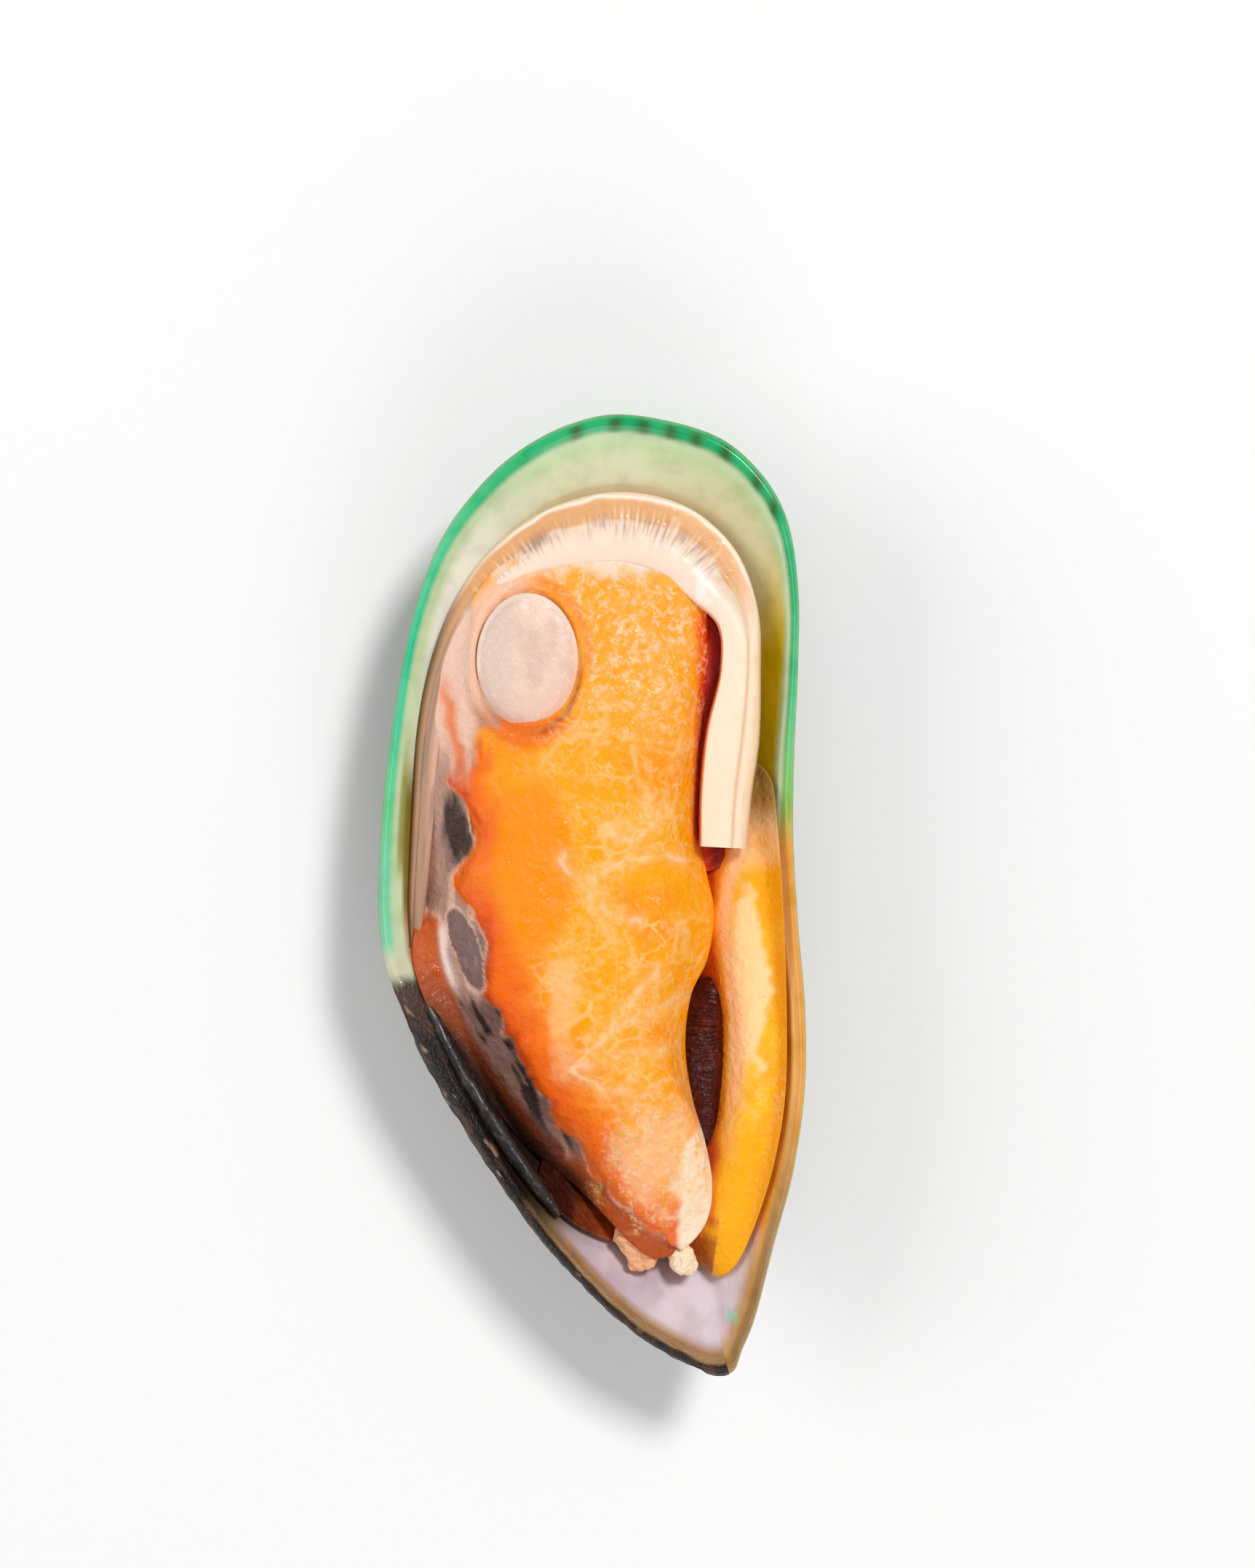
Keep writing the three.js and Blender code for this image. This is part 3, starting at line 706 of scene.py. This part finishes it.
def body_relief(x, y, out):
    """Folds and lumps of the near lobe, above its plain dome."""
    orange = orange_side(x, y)
    fold = np.abs(side_distance(FLANK_FOLD, x, y))
    disc = adductor_share(x, y)
    inside = smooth(out, 1.0, 0.9)
    lumps = 0.38 * fractal(x, y, 8.0, 71) + 0.1 * fractal(x, y, 2.0, 75)
    flank = smooth(orange, 0.7, -0.9) * smooth(y, 19, 14)
    relief = lumps * inside - 0.9 * flank + 0.9 * hump(fold, 0, 1.7)
    relief = relief + 0.35 * hump(disc, 1.16, 0.1) - 1.4 * smooth(disc, 1.06, 0.96)
    return relief - 0.35 * hump(orange, 0.2, 0.5) * smooth(y, 18, 12)


def paint_flank(paint, x, y, out, line, orange):
    """Grey membrane, folds and a gap between the orange mass and the hinge side, with painted shade and
    highlights.
    """
    flank = smooth(orange, 0.3, -0.4) * smooth(y, 24, 15)
    upper_flank = smooth(x + 0.5 * noise(x, y, 2.0, 92), -11.8, -13.2) * smooth(y, 10, 15)
    flank = np.maximum(flank, upper_flank)
    paint.over("#BC9282", flank)
    shade = smooth(fractal(x * 1.6, y * 0.5, 3.0, 87), 0.0, 0.8)
    paint.over("#8A6A66", flank * shade * smooth(y, 16, 8) * 0.8)
    paint.over("#F0C6B0", upper_flank * smooth(y, 13, 17))
    paint.over("#F2C4B2", flank * smooth(noise(x * 2.2, y * 0.4, 2.0, 89), 0.25, 0.8) * 0.8)
    streak = hump(x + 0.2 * (y - 17) + 0.3 * noise(x, y, 1.5, 95), -14.4, 0.75)
    paint.over("#EE7A36", 0.85 * streak * smooth(y, 11.5, 14) * smooth(y, 24, 20))
    # Dark brown patch in a gap of the membrane: painted shade.
    shaded_gap = ellipse(x + 0.25 * (y - 6.4), y, (-14.2, 6.4), (1.5, 3.9))
    shaded_gap = shaded_gap + 0.45 * fractal(x * 1.8, y * 0.7, 1.6, 91)
    paint.over("#3E2A22", smooth(shaded_gap, 1.3, 0.45) * smooth(line, 0.3, -0.3))
    # Pale broken line along the border of the orange mass: painted highlight.
    border_highlight = hump(orange, 0.05, 0.16) * smooth(noise(x, y, 1.5, 94), -0.5, 0.4)
    paint.over("#F6CDB4", 0.75 * border_highlight * smooth(y, 17, 12))
    fold_side = side_distance(FLANK_FOLD, x, y)
    fold = np.abs(fold_side)
    paint.over("#E6AE94", smooth(fold, 2.3, 1.9) * smooth(y, 1, -1.5))
    paint.over("#C4561C", smooth(fold, 1.9, 1.4) * smooth(y, -0.5, -3))
    # The fold darker further down towards the hinge: painted shade.
    paint.over("#8E421C", smooth(fold, 1.9, 1.2) * smooth(y, -5, -12) * 0.9)
    paint.over("#5A2410", smooth(fold, 2.2, 1.4) * smooth(y, -11, -19) * 0.9)
    # Pale streak beside the fold: painted highlight.
    paint.over("#F0E2DA", 0.7 * hump(fold_side, 1.9, 0.45) * smooth(y, -2.5, -4) * smooth(y, -11, -8))
    island = ellipse(x + 0.3 * (y + 5.5), y, (-13.1, -5.5), (1.4, 4.2)) + 0.12 * fractal(x, y, 2.0, 96)
    paint.over("#E6BCA8", smooth(island, 1.16, 1.08) * 0.8)
    paint.over("#80645F", smooth(island, 1.07, 0.98))
    paint.over("#A88C84", hump(island, 0.4, 0.2) * smooth(noise(x * 2, y * 0.5, 1.2, 99), 0.0, 0.6) * 0.7)
    streaks = smooth(fractal(x * 1.4 + y * 0.7, y * 0.35 - x * 0.2, 1.2, 98), -0.15, 0.4)
    low_flank = smooth(orange, 0.6, -0.3) * smooth(y, -9, -12) * smooth(y, -29, -24) * smooth(fold, 0.8, 2.0)
    paint.over("#6E5046", low_flank * 0.9)
    paint.over("#2A1B18", low_flank * streaks)
    paint.over("#B4501E", smooth(orange, 0.5, -0.5) * smooth(y, -26, -29))
    # Near black on the rolled border low on the hinge side: painted shade under the border.
    paint.over("#2A1A14", smooth(out, 0.9, 0.98) * smooth(y, -10, -16) * smooth(x, 2, -2) * 0.85)


def paint_body(x, y, out):
    line = orange_side(x, y)
    orange = line + 0.7 * fractal(x, y, 2.4, 81)
    paint = Paint(x.shape, "#FFA602")
    paint.over("#FF9200", 0.8 * smooth(fractal(x, y, 7.0, 83), 0.0, 0.8))
    deep = smooth(orange + 1.5 * noise(x, y, 5.0, 85), 8.5, 3.0) * smooth(y, 18, 10)
    paint.over("#FB8018", deep * 0.9)
    red = smooth(orange + noise(x, y, 3.0, 86), 4.4, 1.2) * smooth(y, 18, 12)
    paint.over("#EE5A0A", red * mix(0.95, 0.55, hump(y, 4, 4)))
    low = smooth(orange + 1.6 * fractal(x, y, 3.0, 84), 5.0, 1.0) * smooth(y, 1, -5)
    paint.over("#F4680A", low * 0.75)
    paint.over("#CC4204", smooth(orange + 0.5 * fractal(x, y, 1.2, 82), 2.0, 0.2) * smooth(y, 0, -4) * 0.85)
    paint.over("#FB910F", smooth(ellipse(x, y, (-6.0, 3), (4.4, 9.5)), 1.2, 0.7) * 0.9)
    crumbs = smooth(noise(x, y, 0.55, 97), 0.1, 0.6) * smooth(y, 5, 8) * smooth(y, 18, 15)
    paint.over("#DE440A", 0.8 * crumbs * hump(orange, 0.9, 1.1))
    bent_x = x + 0.5 * fractal(x, y, 1.8, 74)
    bent_y = y + 0.5 * fractal(x, y, 1.8, 76)
    vein = np.min([np.abs(side_distance(points, bent_x, bent_y)) for points in VEINS], axis=0)
    kept = smooth(noise(x, y, 0.9, 79), -0.7, 0.2)
    band = ellipse(x, y, (-3.2, -10.5), (1.7, 7.5)) + 0.35 * fractal(x, y, 2.0, 78)
    paint.over("#FFC48A", 0.6 * smooth(band, 1.2, 0.4))
    paint.over("#FFC88E", 0.3 * hump(vein, 0, 0.9))
    paint.over("#FFD2A8", 0.75 * hump(vein, 0, 0.24) * kept)
    top = smooth(y, 12, 24)
    paint.over("#FFA420", top * 0.7)
    paint.over("#FCDFCB", smooth(y + 1.3 * fractal(x, y, 1.6, 93), 32.4, 35.4))
    pink = ellipse(x, y, (6.6, -27), (5.7, 7.6)) + 0.35 * fractal(x, y, 2.4, 88)
    paint.over("#FCC08A", smooth(pink, 1.2, 0.3) * 0.75)
    cream_edge = mix(10.9, 8.8, smooth(y, -23, -29.5))
    cream = smooth(x + 0.6 * fractal(x, y, 2.0, 90) - cream_edge, -0.4, 0.5) * smooth(y, -22.5, -24)
    paint.over("#FDE6CA", cream)
    paint.over("#F0702A", hump(orange, 0.8, 0.9) * smooth(y, -20, -26) * (1 - cream))
    disc = adductor_share(x, y)
    rightward, upward = x - ADDUCTOR["x"], y - ADDUCTOR["y"]
    paint.over("#F6CDB6", 0.8 * smooth(disc, 1.5, 1.25) * smooth(rightward, 3, -2) * smooth(upward, -6.5, -4))
    paint.over("#F06A1C", 0.8 * smooth(disc, 1.4, 1.15) * smooth(upward, -4.5, -6.5))
    paint.over("#FB8A22", hump(disc, 1.2, 0.1) * smooth(rightward, -1, 2) * smooth(upward, -3, 1))
    # Thin dark red-brown line at the lower right of the muscle: painted shade in the crease.
    paint.over("#C0561E", hump(disc, 1.07, 0.05) * smooth(rightward, 0, 2) * smooth(upward, 1, -3))
    paint_flank(paint, x, y, out, line, orange)
    # Red on the body's border in the slit, darkest at the very edge: flesh colour with painted shade of the
    # slit.
    slit = smooth(x, 9.9, 11.2) * smooth(y, 3, 7) * smooth(y, 31, 28)
    paint.over("#F04A10", slit * smooth(out, 0.86, 0.97))
    paint.over("#C82008", slit * smooth(out, 0.95, 1.0))
    speckled_top = top * smooth(y, 35.5, 33) * smooth(disc, 1.15, 1.3) * smooth(x, -11, -8)
    speckled = np.maximum(speckled_top, 0.8 * smooth(pink, 1.35, 0.7)) * (1 - cream)
    veined = smooth(orange, 3, 7) * (1 - 0.6 * top) * smooth(out, 1.0, 0.94)
    veined = veined * smooth(ellipse(x, y, (-6.2, 3.5), (4.6, 9.0)), 0.8, 1.3)
    veined = veined * smooth(ellipse(x, y, (6.9, 0.8), (3.4, 2.8)), 0.7, 1.4)
    return paint, {"veins": veined, "specks": speckled}


def body_material():
    shader = Shader("mantle_flesh")
    where = shader.place()
    wide = shader.cell_edges(shader.warp(where, 0.3, 3.4), 0.2)
    fine = shader.cell_edges(shader.warp(where, 0.7, 1.5), 0.5)
    thin = shader.cell_edges(shader.warp(where, 1.4, 0.7), 1.0)
    web = shader.times(shader.ramp(wide, 0.1, 0.0), shader.ramp(shader.noise(where, 0.25, 2.0), 0.36, 0.6))
    lace = shader.times(shader.ramp(fine, 0.12, 0.0), shader.ramp(shader.noise(where, 0.4, 2.0), 0.42, 0.6))
    mesh = shader.times(shader.ramp(thin, 0.16, 0.0), shader.ramp(shader.noise(where, 0.6, 2.0), 0.45, 0.62))
    lines = shader.math("MAXIMUM", web, shader.math("MAXIMUM", lace, shader.times(mesh, 0.7)))
    mottle = shader.times(shader.ramp(shader.noise(where, 0.8, 6.0), 0.5, 0.7), 0.6)
    veins = shader.times(shader.math("MAXIMUM", lines, mottle), shader.mask("veins"))
    colour = shader.blend(shader.colour(), rgba("#FFCB84"), shader.times(veins, 0.62))
    dots = shader.noise(shader.warp(where, 0.8, 1.4), 1.0, 6.0)
    grain = shader.noise(where, 2.6, 3.0)
    pale = shader.times(shader.ramp(dots, 0.46, 0.62), shader.ramp(grain, 0.34, 0.56))
    mottled = shader.math("MAXIMUM", shader.mask("specks"), shader.mask("veins"))
    ochre = shader.times(shader.ramp(shader.noise(where, 0.75, 5.0), 0.52, 0.7), mottled)
    colour = shader.blend(colour, rgba("#EFA812"), shader.times(ochre, 0.6))
    specks = shader.times(pale, shader.times(shader.mask("specks"), 0.78))
    colour = shader.blend(colour, rgba("#FBCDA0"), specks)
    shader.set(Base_Color=colour)
    wet = shader.ramp(shader.noise(where, 0.7, 3.0), 0.52, 0.64)
    shader.wet_patches(wet, 0.42, 0.09)
    shader.set(Specular_IOR_Level=0.25)
    shader.bump(shader.noise(where, 1.3, 4.0), 0.26)
    flesh(shader, 0.1, 0.8)
    return shader.material


def make_body(material):
    def top(x, y, out):
        return near_top(x, y, out) + body_relief(x, y, out)

    def bottom(x, y, out):
        return np.minimum(inner_height(x, y) + BED, near_top(x, y, out) - MEAT_ROLL)

    shares = ring_shares(BODY_RINGS["top"])
    loops, out = pillow_loops(NEAR_LOBE, BODY_SIDES, shares, top, bottom, BODY_RINGS["under"])
    paint, masks = paint_body(loops[..., 0], loops[..., 1], out)
    make_piece("mantle_body", loops, "near_mantle_lobe", material, paint, masks)


def edge_frame(count):
    """Centre line of the mantle edge with its inward direction, half width and share from end to end."""
    rows = spline(MANTLE_EDGE, count, closed=False)
    tangent = np.gradient(rows[:, :2], axis=0)
    tangent /= np.linalg.norm(tangent, axis=1)[:, None]
    inward = np.stack([tangent[:, 1], -tangent[:, 0]], -1)
    return rows, inward, np.linspace(0, 1, count)


def edge_sections(share, count):
    """Closed sections along the mantle edge: across in half widths, height from the ridge line."""
    frill = spline(FRILL_SECTION, count, closed=True)
    strip = spline(STRIP_SECTION, count, closed=True)
    flank = np.maximum(smooth(share, *STRIP_START), smooth(share, 0.36, 0.24) * 0.8)
    return mix(frill[None], strip[None], flank[:, None, None])


def edge_material():
    shader = Shader("mantle_edge")
    along = shader.mask("along")
    across = shader.mask("across")
    stripe_place = shader.node("CombineXYZ", {"X": along, "Y": shader.times(across, 0.3)}).outputs[0]
    stripes = shader.noise(stripe_place, 2.4, 3.0)
    combed = shader.times(shader.ramp(stripes, 0.46, 0.62), shader.mask("combed"))
    colour = shader.blend(shader.colour(), rgba("#AE8A84"), shader.times(combed, 0.6))
    lit = shader.times(shader.ramp(stripes, 0.46, 0.34), shader.mask("combed"))
    colour = shader.blend(colour, rgba("#FFE6D6"), lit)
    shader.set(Base_Color=colour)
    place = shader.place()
    wet = shader.ramp(shader.noise(place, 0.8, 3.0), 0.5, 0.68)
    shader.wet_patches(wet, 0.42, 0.14)
    shader.set(Specular_IOR_Level=0.35)
    ridges = shader.times(stripes, shader.mask("combed"))
    shader.bump(shader.math("ADD", ridges, shader.times(shader.noise(place, 0.9, 3.0), 0.5)), 0.12)
    flesh(shader, 0.15, 1.0)
    return shader.material


def make_mantle_edge():
    rows, inward, share = edge_frame(EDGE_STEPS)
    section = edge_sections(share, EDGE_SIDES)
    across = section[..., 0]
    plan = rows[:, None, :2] + inward[:, None] * (across * rows[:, 2:3])[..., None]
    s = np.broadcast_to(share[:, None], across.shape)
    strip = smooth(s, *STRIP_START)
    arc = np.concatenate([[0], np.cumsum(np.linalg.norm(np.diff(rows[:, :2], axis=0), axis=1))])
    along = np.broadcast_to(arc[:, None], across.shape)
    depth = np.minimum(1.0, (1.4 + rows[:, 2:3]) / 3.4)
    wave = 0.14 * noise(along, across * 2, 4.5, 101) * smooth(s, 0.02, 0.2)
    fringe = smooth(s, 0.3, 0.38) * smooth(s, 0.72, 0.66)
    papillae = 0.05 * np.sin(2 * math.pi * along / 0.55 + 2.5 * noise(along, across, 1.5, 107))
    papillae = papillae * fringe * hump(across, -0.12, 0.26)
    z = rows[:, 3:4] + section[..., 1] * depth + wave + papillae
    loops = np.dstack([plan, z])
    loops[..., 2] = np.maximum(loops[..., 2], inner_height(plan[..., 0], plan[..., 1]) + 0.15)

    wobble = across + 0.06 * noise(along, across, 1.6, 103)
    paint = Paint(across.shape, "#FCE0CC")
    paint.over("#E6AC74", smooth(wobble, -0.16, -0.34) * (1 - strip))
    paint.over("#EFD0B2", smooth(wobble, -0.78, -0.95) * (1 - strip))
    paint.over("#FEE4C8", strip)
    paint.over("#D8A876", strip * hump(across, -0.37, 0.09) * 0.6)
    broken = smooth(noise(along * 0.6, across, 1.2, 109), -0.3, 0.5)
    paint.over("#D9AE80", strip * hump(across, -0.72, 0.05) * broken * 0.7)
    paint.over("#F0CDA6", strip * smooth(across, -0.5, -0.9))
    paint.over("#E88A58", strip * smooth(across, 0.9, 1.0))
    flank = smooth(s, 0.36, 0.24)
    paint.over("#B88E72", flank)
    paint.over("#E0B09E", flank * smooth(across, 0.0, 0.8) * smooth(s, 0.06, 0.2))
    paint.over("#9A7E70", flank * 0.6 * smooth(noise(along * 0.2, across * 3, 1.0, 105), 0.0, 0.6))
    # Olive brown on the outer side of the thin flank edge: painted shade along the shell wall.
    paint.over("#7A5A26", flank * smooth(across, -0.5, -0.9))
    x, y = plan[..., 0], plan[..., 1]
    # Pale hairline along the outer border of the frill: painted highlight.
    rim_highlight = smooth(s, 0.36, 0.42) * (1 - strip)
    paint.over("#FFF2E4", 0.9 * rim_highlight * hump(wobble, -0.93, 0.05))
    # Pale patch on the curl at the upper right: painted highlight.
    glint_patch = ellipse(x, y, (11.8, 32.4), (1.7, 2.4)) + 0.5 * noise(x, y, 0.8, 106)
    paint.over("#FFF4EA", 0.7 * smooth(glint_patch, 1.0, 0.5))
    paint.over("#8A6660", 0.6 * fringe * hump(across, -0.14, 0.22) * hump(x, -6, 1.5))
    combed = fringe * hump(across, -0.1, 0.36) * (1 - 0.9 * hump(x, -1.8, 1.2))
    masks = {"along": along, "across": across, "combed": combed}
    make_piece(
        "mantle_border", loops, "near_mantle_lobe", edge_material(), paint, masks, sharp_degrees=55
    )


def make_palps(material):
    for index, (name, outline) in enumerate(PALPS.items()):
        def top(x, y, out):
            return PALP_TOP - 0.9 * out**3 + 0.35 * fractal(x, y, 1.2, 111 + index)

        def bottom(x, y, out):
            return PALP_TOP - PALP_DEPTH + 0.9 * out**3

        loops, out = pillow_loops(outline, SMALL_SIDES, ring_shares(SMALL_RINGS), top, bottom)
        x, y = loops[..., 0].copy(), loops[..., 1].copy()
        loops[..., 0] += 0.4 * fractal(x, y, 1.5, 116)
        loops[..., 1] += 0.4 * fractal(x, y, 1.5, 118)
        paint = Paint(x.shape, "#F3B488" if index == 0 else "#FBE3C4")
        paint.over("#E07A3C", smooth(fractal(x, y, 1.5, 115), 0.1, 0.7) * 0.7)
        masks = {"veins": np.zeros(x.shape), "specks": np.zeros(x.shape)}
        make_piece(name, loops, "near_mantle_lobe", material, paint, masks)


# Far mantle lobe, adductor muscle and foot


def far_top(x, y):
    crest = FAR_RIDGE["x"] - FAR_RIDGE["bend"] * np.maximum(0, FAR_RIDGE["turn"] - y) ** 2
    fall = FAR_RIDGE["fall"] * mix(1.0, 0.5, smooth(y, -14, -2) * (x < crest))
    fold = FAR_RIDGE["height"] - fall * (x - crest) ** 2
    sheet = inner_height(x, y) + FAR_SHEET
    return FAR_BLEND * np.logaddexp(sheet / FAR_BLEND, fold / FAR_BLEND)


def make_far_lobe(material):
    def bottom(x, y, out):
        return inner_height(x, y) + BED

    def top(x, y, out):
        lumps = 0.2 * fractal(x, y, 5.0, 121) + 0.06 * fractal(x, y, 1.6, 125)
        return mix(far_top(x, y) + lumps, bottom(x, y, out) + 0.35, out**8)

    loops, out = pillow_loops(FAR_LOBE, FAR_SIDES, ring_shares(FAR_RINGS), top, bottom)
    x, y = loops[..., 0], loops[..., 1]
    paint = Paint(x.shape, "#FFB00A")
    paint.over("#FFC42A", smooth(fractal(x, y, 4.0, 127), 0.0, 0.8) * 0.8)
    patch = ellipse(x, y, (16.2, -9.5), (2.3, 8.5)) + 0.3 * fractal(x, y, 2.0, 129)
    paint.over("#FFD898", smooth(patch, 1.2, 0.8))
    stripe = side_distance(FAR_STRIPE, x, y) + 0.3 * noise(x, y, 2.5, 128)
    paint.over("#E8940C", 0.6 * smooth(out, 0.8, 0.95) * smooth(x, 15, 18))
    paint.over("#FFBE86", hump(stripe, 0, 0.8) * smooth(y, -30, -18))
    paint.over("#F4C08C", smooth(y + 1.5 * noise(x, y, 2.0, 126), 2, 7))
    paint.over("#A67C30", smooth(y + noise(x * 2, y * 0.4, 1.2, 120), 5.5, 10) * 0.9)
    # Left of the pale stripe the far lobe lies under the near lobe: orange, red, then dark maroon, painted
    # shade under the overhang.
    below = smooth(y, 8, 5) * smooth(smooth(y, -33, -36) * smooth(x, 9, 12), 1.0, 0.0)
    paint.over("#F09026", smooth(stripe, -0.5, -1.1) * below)
    paint.over("#C24A0C", smooth(stripe, -0.9, -1.8) * below)
    paint.over("#4A1206", smooth(stripe, -2.5, -6) * below * 0.95)
    # Near black streaks in the deepest part: painted shade broken up by noise.
    shade_streaks = smooth(fractal(x * 1.6 + y, y * 0.5, 1.6, 122), 0.0, 0.7)
    paint.over("#1E0804", 0.8 * shade_streaks * smooth(stripe, -4, -7))
    # Near black beside the ligament, and lighter orange-brown towards the tip: painted shade, less of it at
    # the tip.
    tip_less_shade = smooth(x + 1.2 * fractal(x, y, 1.6, 124), -2.5, 3.5) * smooth(y, -28, -32)
    paint.over("#2E0B05", 0.85 * smooth(x + 0.8 * noise(x, y, 1.5, 120), 0.5, -3.5) * smooth(y, -25, -28))
    paint.over("#B45420", tip_less_shade * smooth(stripe, -2, -4) * 0.85)
    masks = {"veins": np.zeros(x.shape), "specks": 0.4 * hump(y, -21, 3) * smooth(stripe, 0.2, 1.2)}
    make_piece("gape_fold", loops, "far_mantle_lobe", material, paint, masks)


def make_ledge(material):
    """Red flesh that shows in the slit beside the cut strip and below its end."""
    def top(x, y, out):
        return LEDGE_TOP - 0.8 * out**4 + 0.15 * fractal(x, y, 2.0, 117)

    def bottom(x, y, out):
        return LEDGE_TOP - LEDGE_DEPTH + 0.6 * out**4

    loops, out = pillow_loops(LEDGE, SMALL_SIDES, ring_shares(SMALL_RINGS), top, bottom)
    x, y = loops[..., 0], loops[..., 1]
    paint = Paint(x.shape, "#E0340A")
    paint.over("#B02006", smooth(fractal(x, y, 2.4, 119), 0.0, 0.7))
    # Darker towards the cut strip: painted shade in the slit.
    paint.over("#8E1404", smooth(x, 11.4, 13.2))
    masks = {"veins": np.zeros(x.shape), "specks": np.zeros(x.shape)}
    make_piece("slit_flesh", loops, "near_mantle_lobe", material, paint, masks)


def make_adductor():
    turn = np.linspace(0, 2 * math.pi, 40, endpoint=False)
    outline = np.stack([
        ADDUCTOR["x"] + ADDUCTOR["half_width"] * np.cos(turn),
        ADDUCTOR["y"] + ADDUCTOR["half_length"] * np.sin(turn),
    ], -1)

    def top(x, y, out):
        return ADDUCTOR["top"] - 0.7 * out**6 + 0.12 * fractal(x, y, 3.0, 131)

    def bottom(x, y, out):
        return inner_height(x, y) + BED

    loops, out = pillow_loops(outline, MUSCLE_SIDES, ring_shares(MUSCLE_RINGS), top, bottom)
    x, y = loops[..., 0], loops[..., 1]
    paint = Paint(x.shape, "#EECDB9")
    paint.over("#DDBBAC", smooth(fractal(x, y, 3.0, 133), 0.0, 0.8) * 0.7)
    paint.over("#CFAAA2", 0.7 * smooth(out, 0.8, 0.92) * smooth(x - ADDUCTOR["x"], 0, -3.5))
    paint.over("#D8C2B6", 0.6 * smooth(x - ADDUCTOR["x"], 1, -3.5))
    paint.over("#F6DECE", smooth(out, 0.88, 0.97) * 0.7)
    shader = Shader("muscle")
    where = shader.place()
    fibres = shader.noise(where, 2.4, 4.0)
    pale = shader.blend(shader.colour(), rgba("#F6DFCF"), shader.times(shader.ramp(fibres, 0.5, 0.75), 0.5))
    shader.set(Base_Color=pale, Roughness=shader.ramp(fibres, -0.9, 2.4))
    shader.bump(fibres, 0.05)
    flesh(shader, 0.2, 1.2)
    make_piece("adductor_disc", loops, "adductor_muscle", shader.material, paint)


def make_foot():
    def top(x, y, out):
        ridges = 0.16 * np.sin(2 * math.pi * (y + 0.35 * noise(x, y, 1.5, 141)) / 0.85)
        return FOOT_TOP - 2.2 * out**3 + ridges * smooth(out, 0.95, 0.6) * mix(0.3, 1.0, smooth(y, -19, -15))

    def bottom(x, y, out):
        return FOOT_TOP - FOOT_DEPTH + 2.6 * out**3

    loops, out = pillow_loops(FOOT, FOOT_SIDES, ring_shares(FOOT_RINGS), top, bottom)
    x, y = loops[..., 0], loops[..., 1]
    paint = Paint(x.shape, "#4A1008")
    paint.over("#621A0A", smooth(fractal(x, y, 2.5, 143), 0.1, 0.8) * 0.8)
    shader = Shader("foot")
    where = shader.place()
    mottle = shader.noise(where, 1.8, 4.0)
    dark = shader.blend(shader.colour(), rgba("#2A0A06"), shader.ramp(mottle, 0.45, 0.7))
    shader.set(Base_Color=dark, Roughness=0.16, Specular_IOR_Level=0.24)
    shader.bump(mottle, 0.25)
    make_piece("foot_tongue", loops, "foot", shader.material, paint)


# Floor, light and camera

PHOTO_HEIGHT_MM = 162.8  # height of the picture at the rim of the shell
PHOTO_CENTRE = (3.66, 11.59)
LENS_MM = 100.0
SENSOR_MM = 36.0
FLOOR_HALF = 4.0  # metres, as the places and sizes of the lights
WORLD_STRENGTH = 0.29
LIGHT_AIM = (0, 0, 0.01)
LIGHTS = {
    "key": {"place": (0.58, 0.68, 1.4), "size": 0.34, "power": 16.5},
    "left_fill": {"place": (-1.4, 0.2, 0.9), "size": 1.2, "power": 10},
    "front_fill": {"place": (0.3, -1.5, 0.9), "size": 1.2, "power": 9},
}


def make_floor():
    half = FLOOR_HALF
    mesh = bpy.data.meshes.new("floor")
    corners = [(-half, -half, 0), (half, -half, 0), (half, half, 0), (-half, half, 0)]
    mesh.from_pydata(corners, [], [(0, 1, 2, 3)])
    shader = Shader("floor")
    shader.set(Base_Color=rgba("#F4F4F2"), Roughness=0.9, Specular_IOR_Level=0.0)
    mesh.materials.append(shader.material)
    floor = bpy.data.objects.new("floor", mesh)
    bpy.context.collection.objects.link(floor)


def make_light(name, place, size, power):
    data = bpy.data.lights.new(name, "AREA")
    data.size = size
    data.energy = power
    light = bpy.data.objects.new(name, data)
    light.location = place
    light.rotation_euler = (Vector(LIGHT_AIM) - Vector(place)).to_track_quat("-Z", "Y").to_euler()
    bpy.context.collection.objects.link(light)


def make_world():
    world = bpy.data.worlds.new("studio")
    world.use_nodes = True
    background = world.node_tree.nodes["Background"]
    background.inputs["Color"].default_value = (1.0, 1.0, 0.99, 1.0)
    background.inputs["Strength"].default_value = WORLD_STRENGTH
    bpy.context.scene.world = world


def make_camera():
    data = bpy.data.cameras.new("camera")
    data.lens = LENS_MM
    data.sensor_width = SENSOR_MM
    camera = bpy.data.objects.new("camera", data)
    distance = PHOTO_HEIGHT_MM * LENS_MM / SENSOR_MM
    camera.location = Vector((*PHOTO_CENTRE, RIM_HEIGHT + distance)) * MM
    bpy.context.collection.objects.link(camera)
    bpy.context.scene.camera = camera


make_shell()
make_ligament()
flesh_material = body_material()
make_body(flesh_material)
make_mantle_edge()
make_palps(flesh_material)
make_ledge(flesh_material)
make_far_lobe(flesh_material)
make_adductor()
make_foot()

make_floor()
make_world()
for light_name, settings in LIGHTS.items():
    make_light(light_name, **settings)
make_camera()
bpy.context.scene.view_settings.view_transform = "Standard"
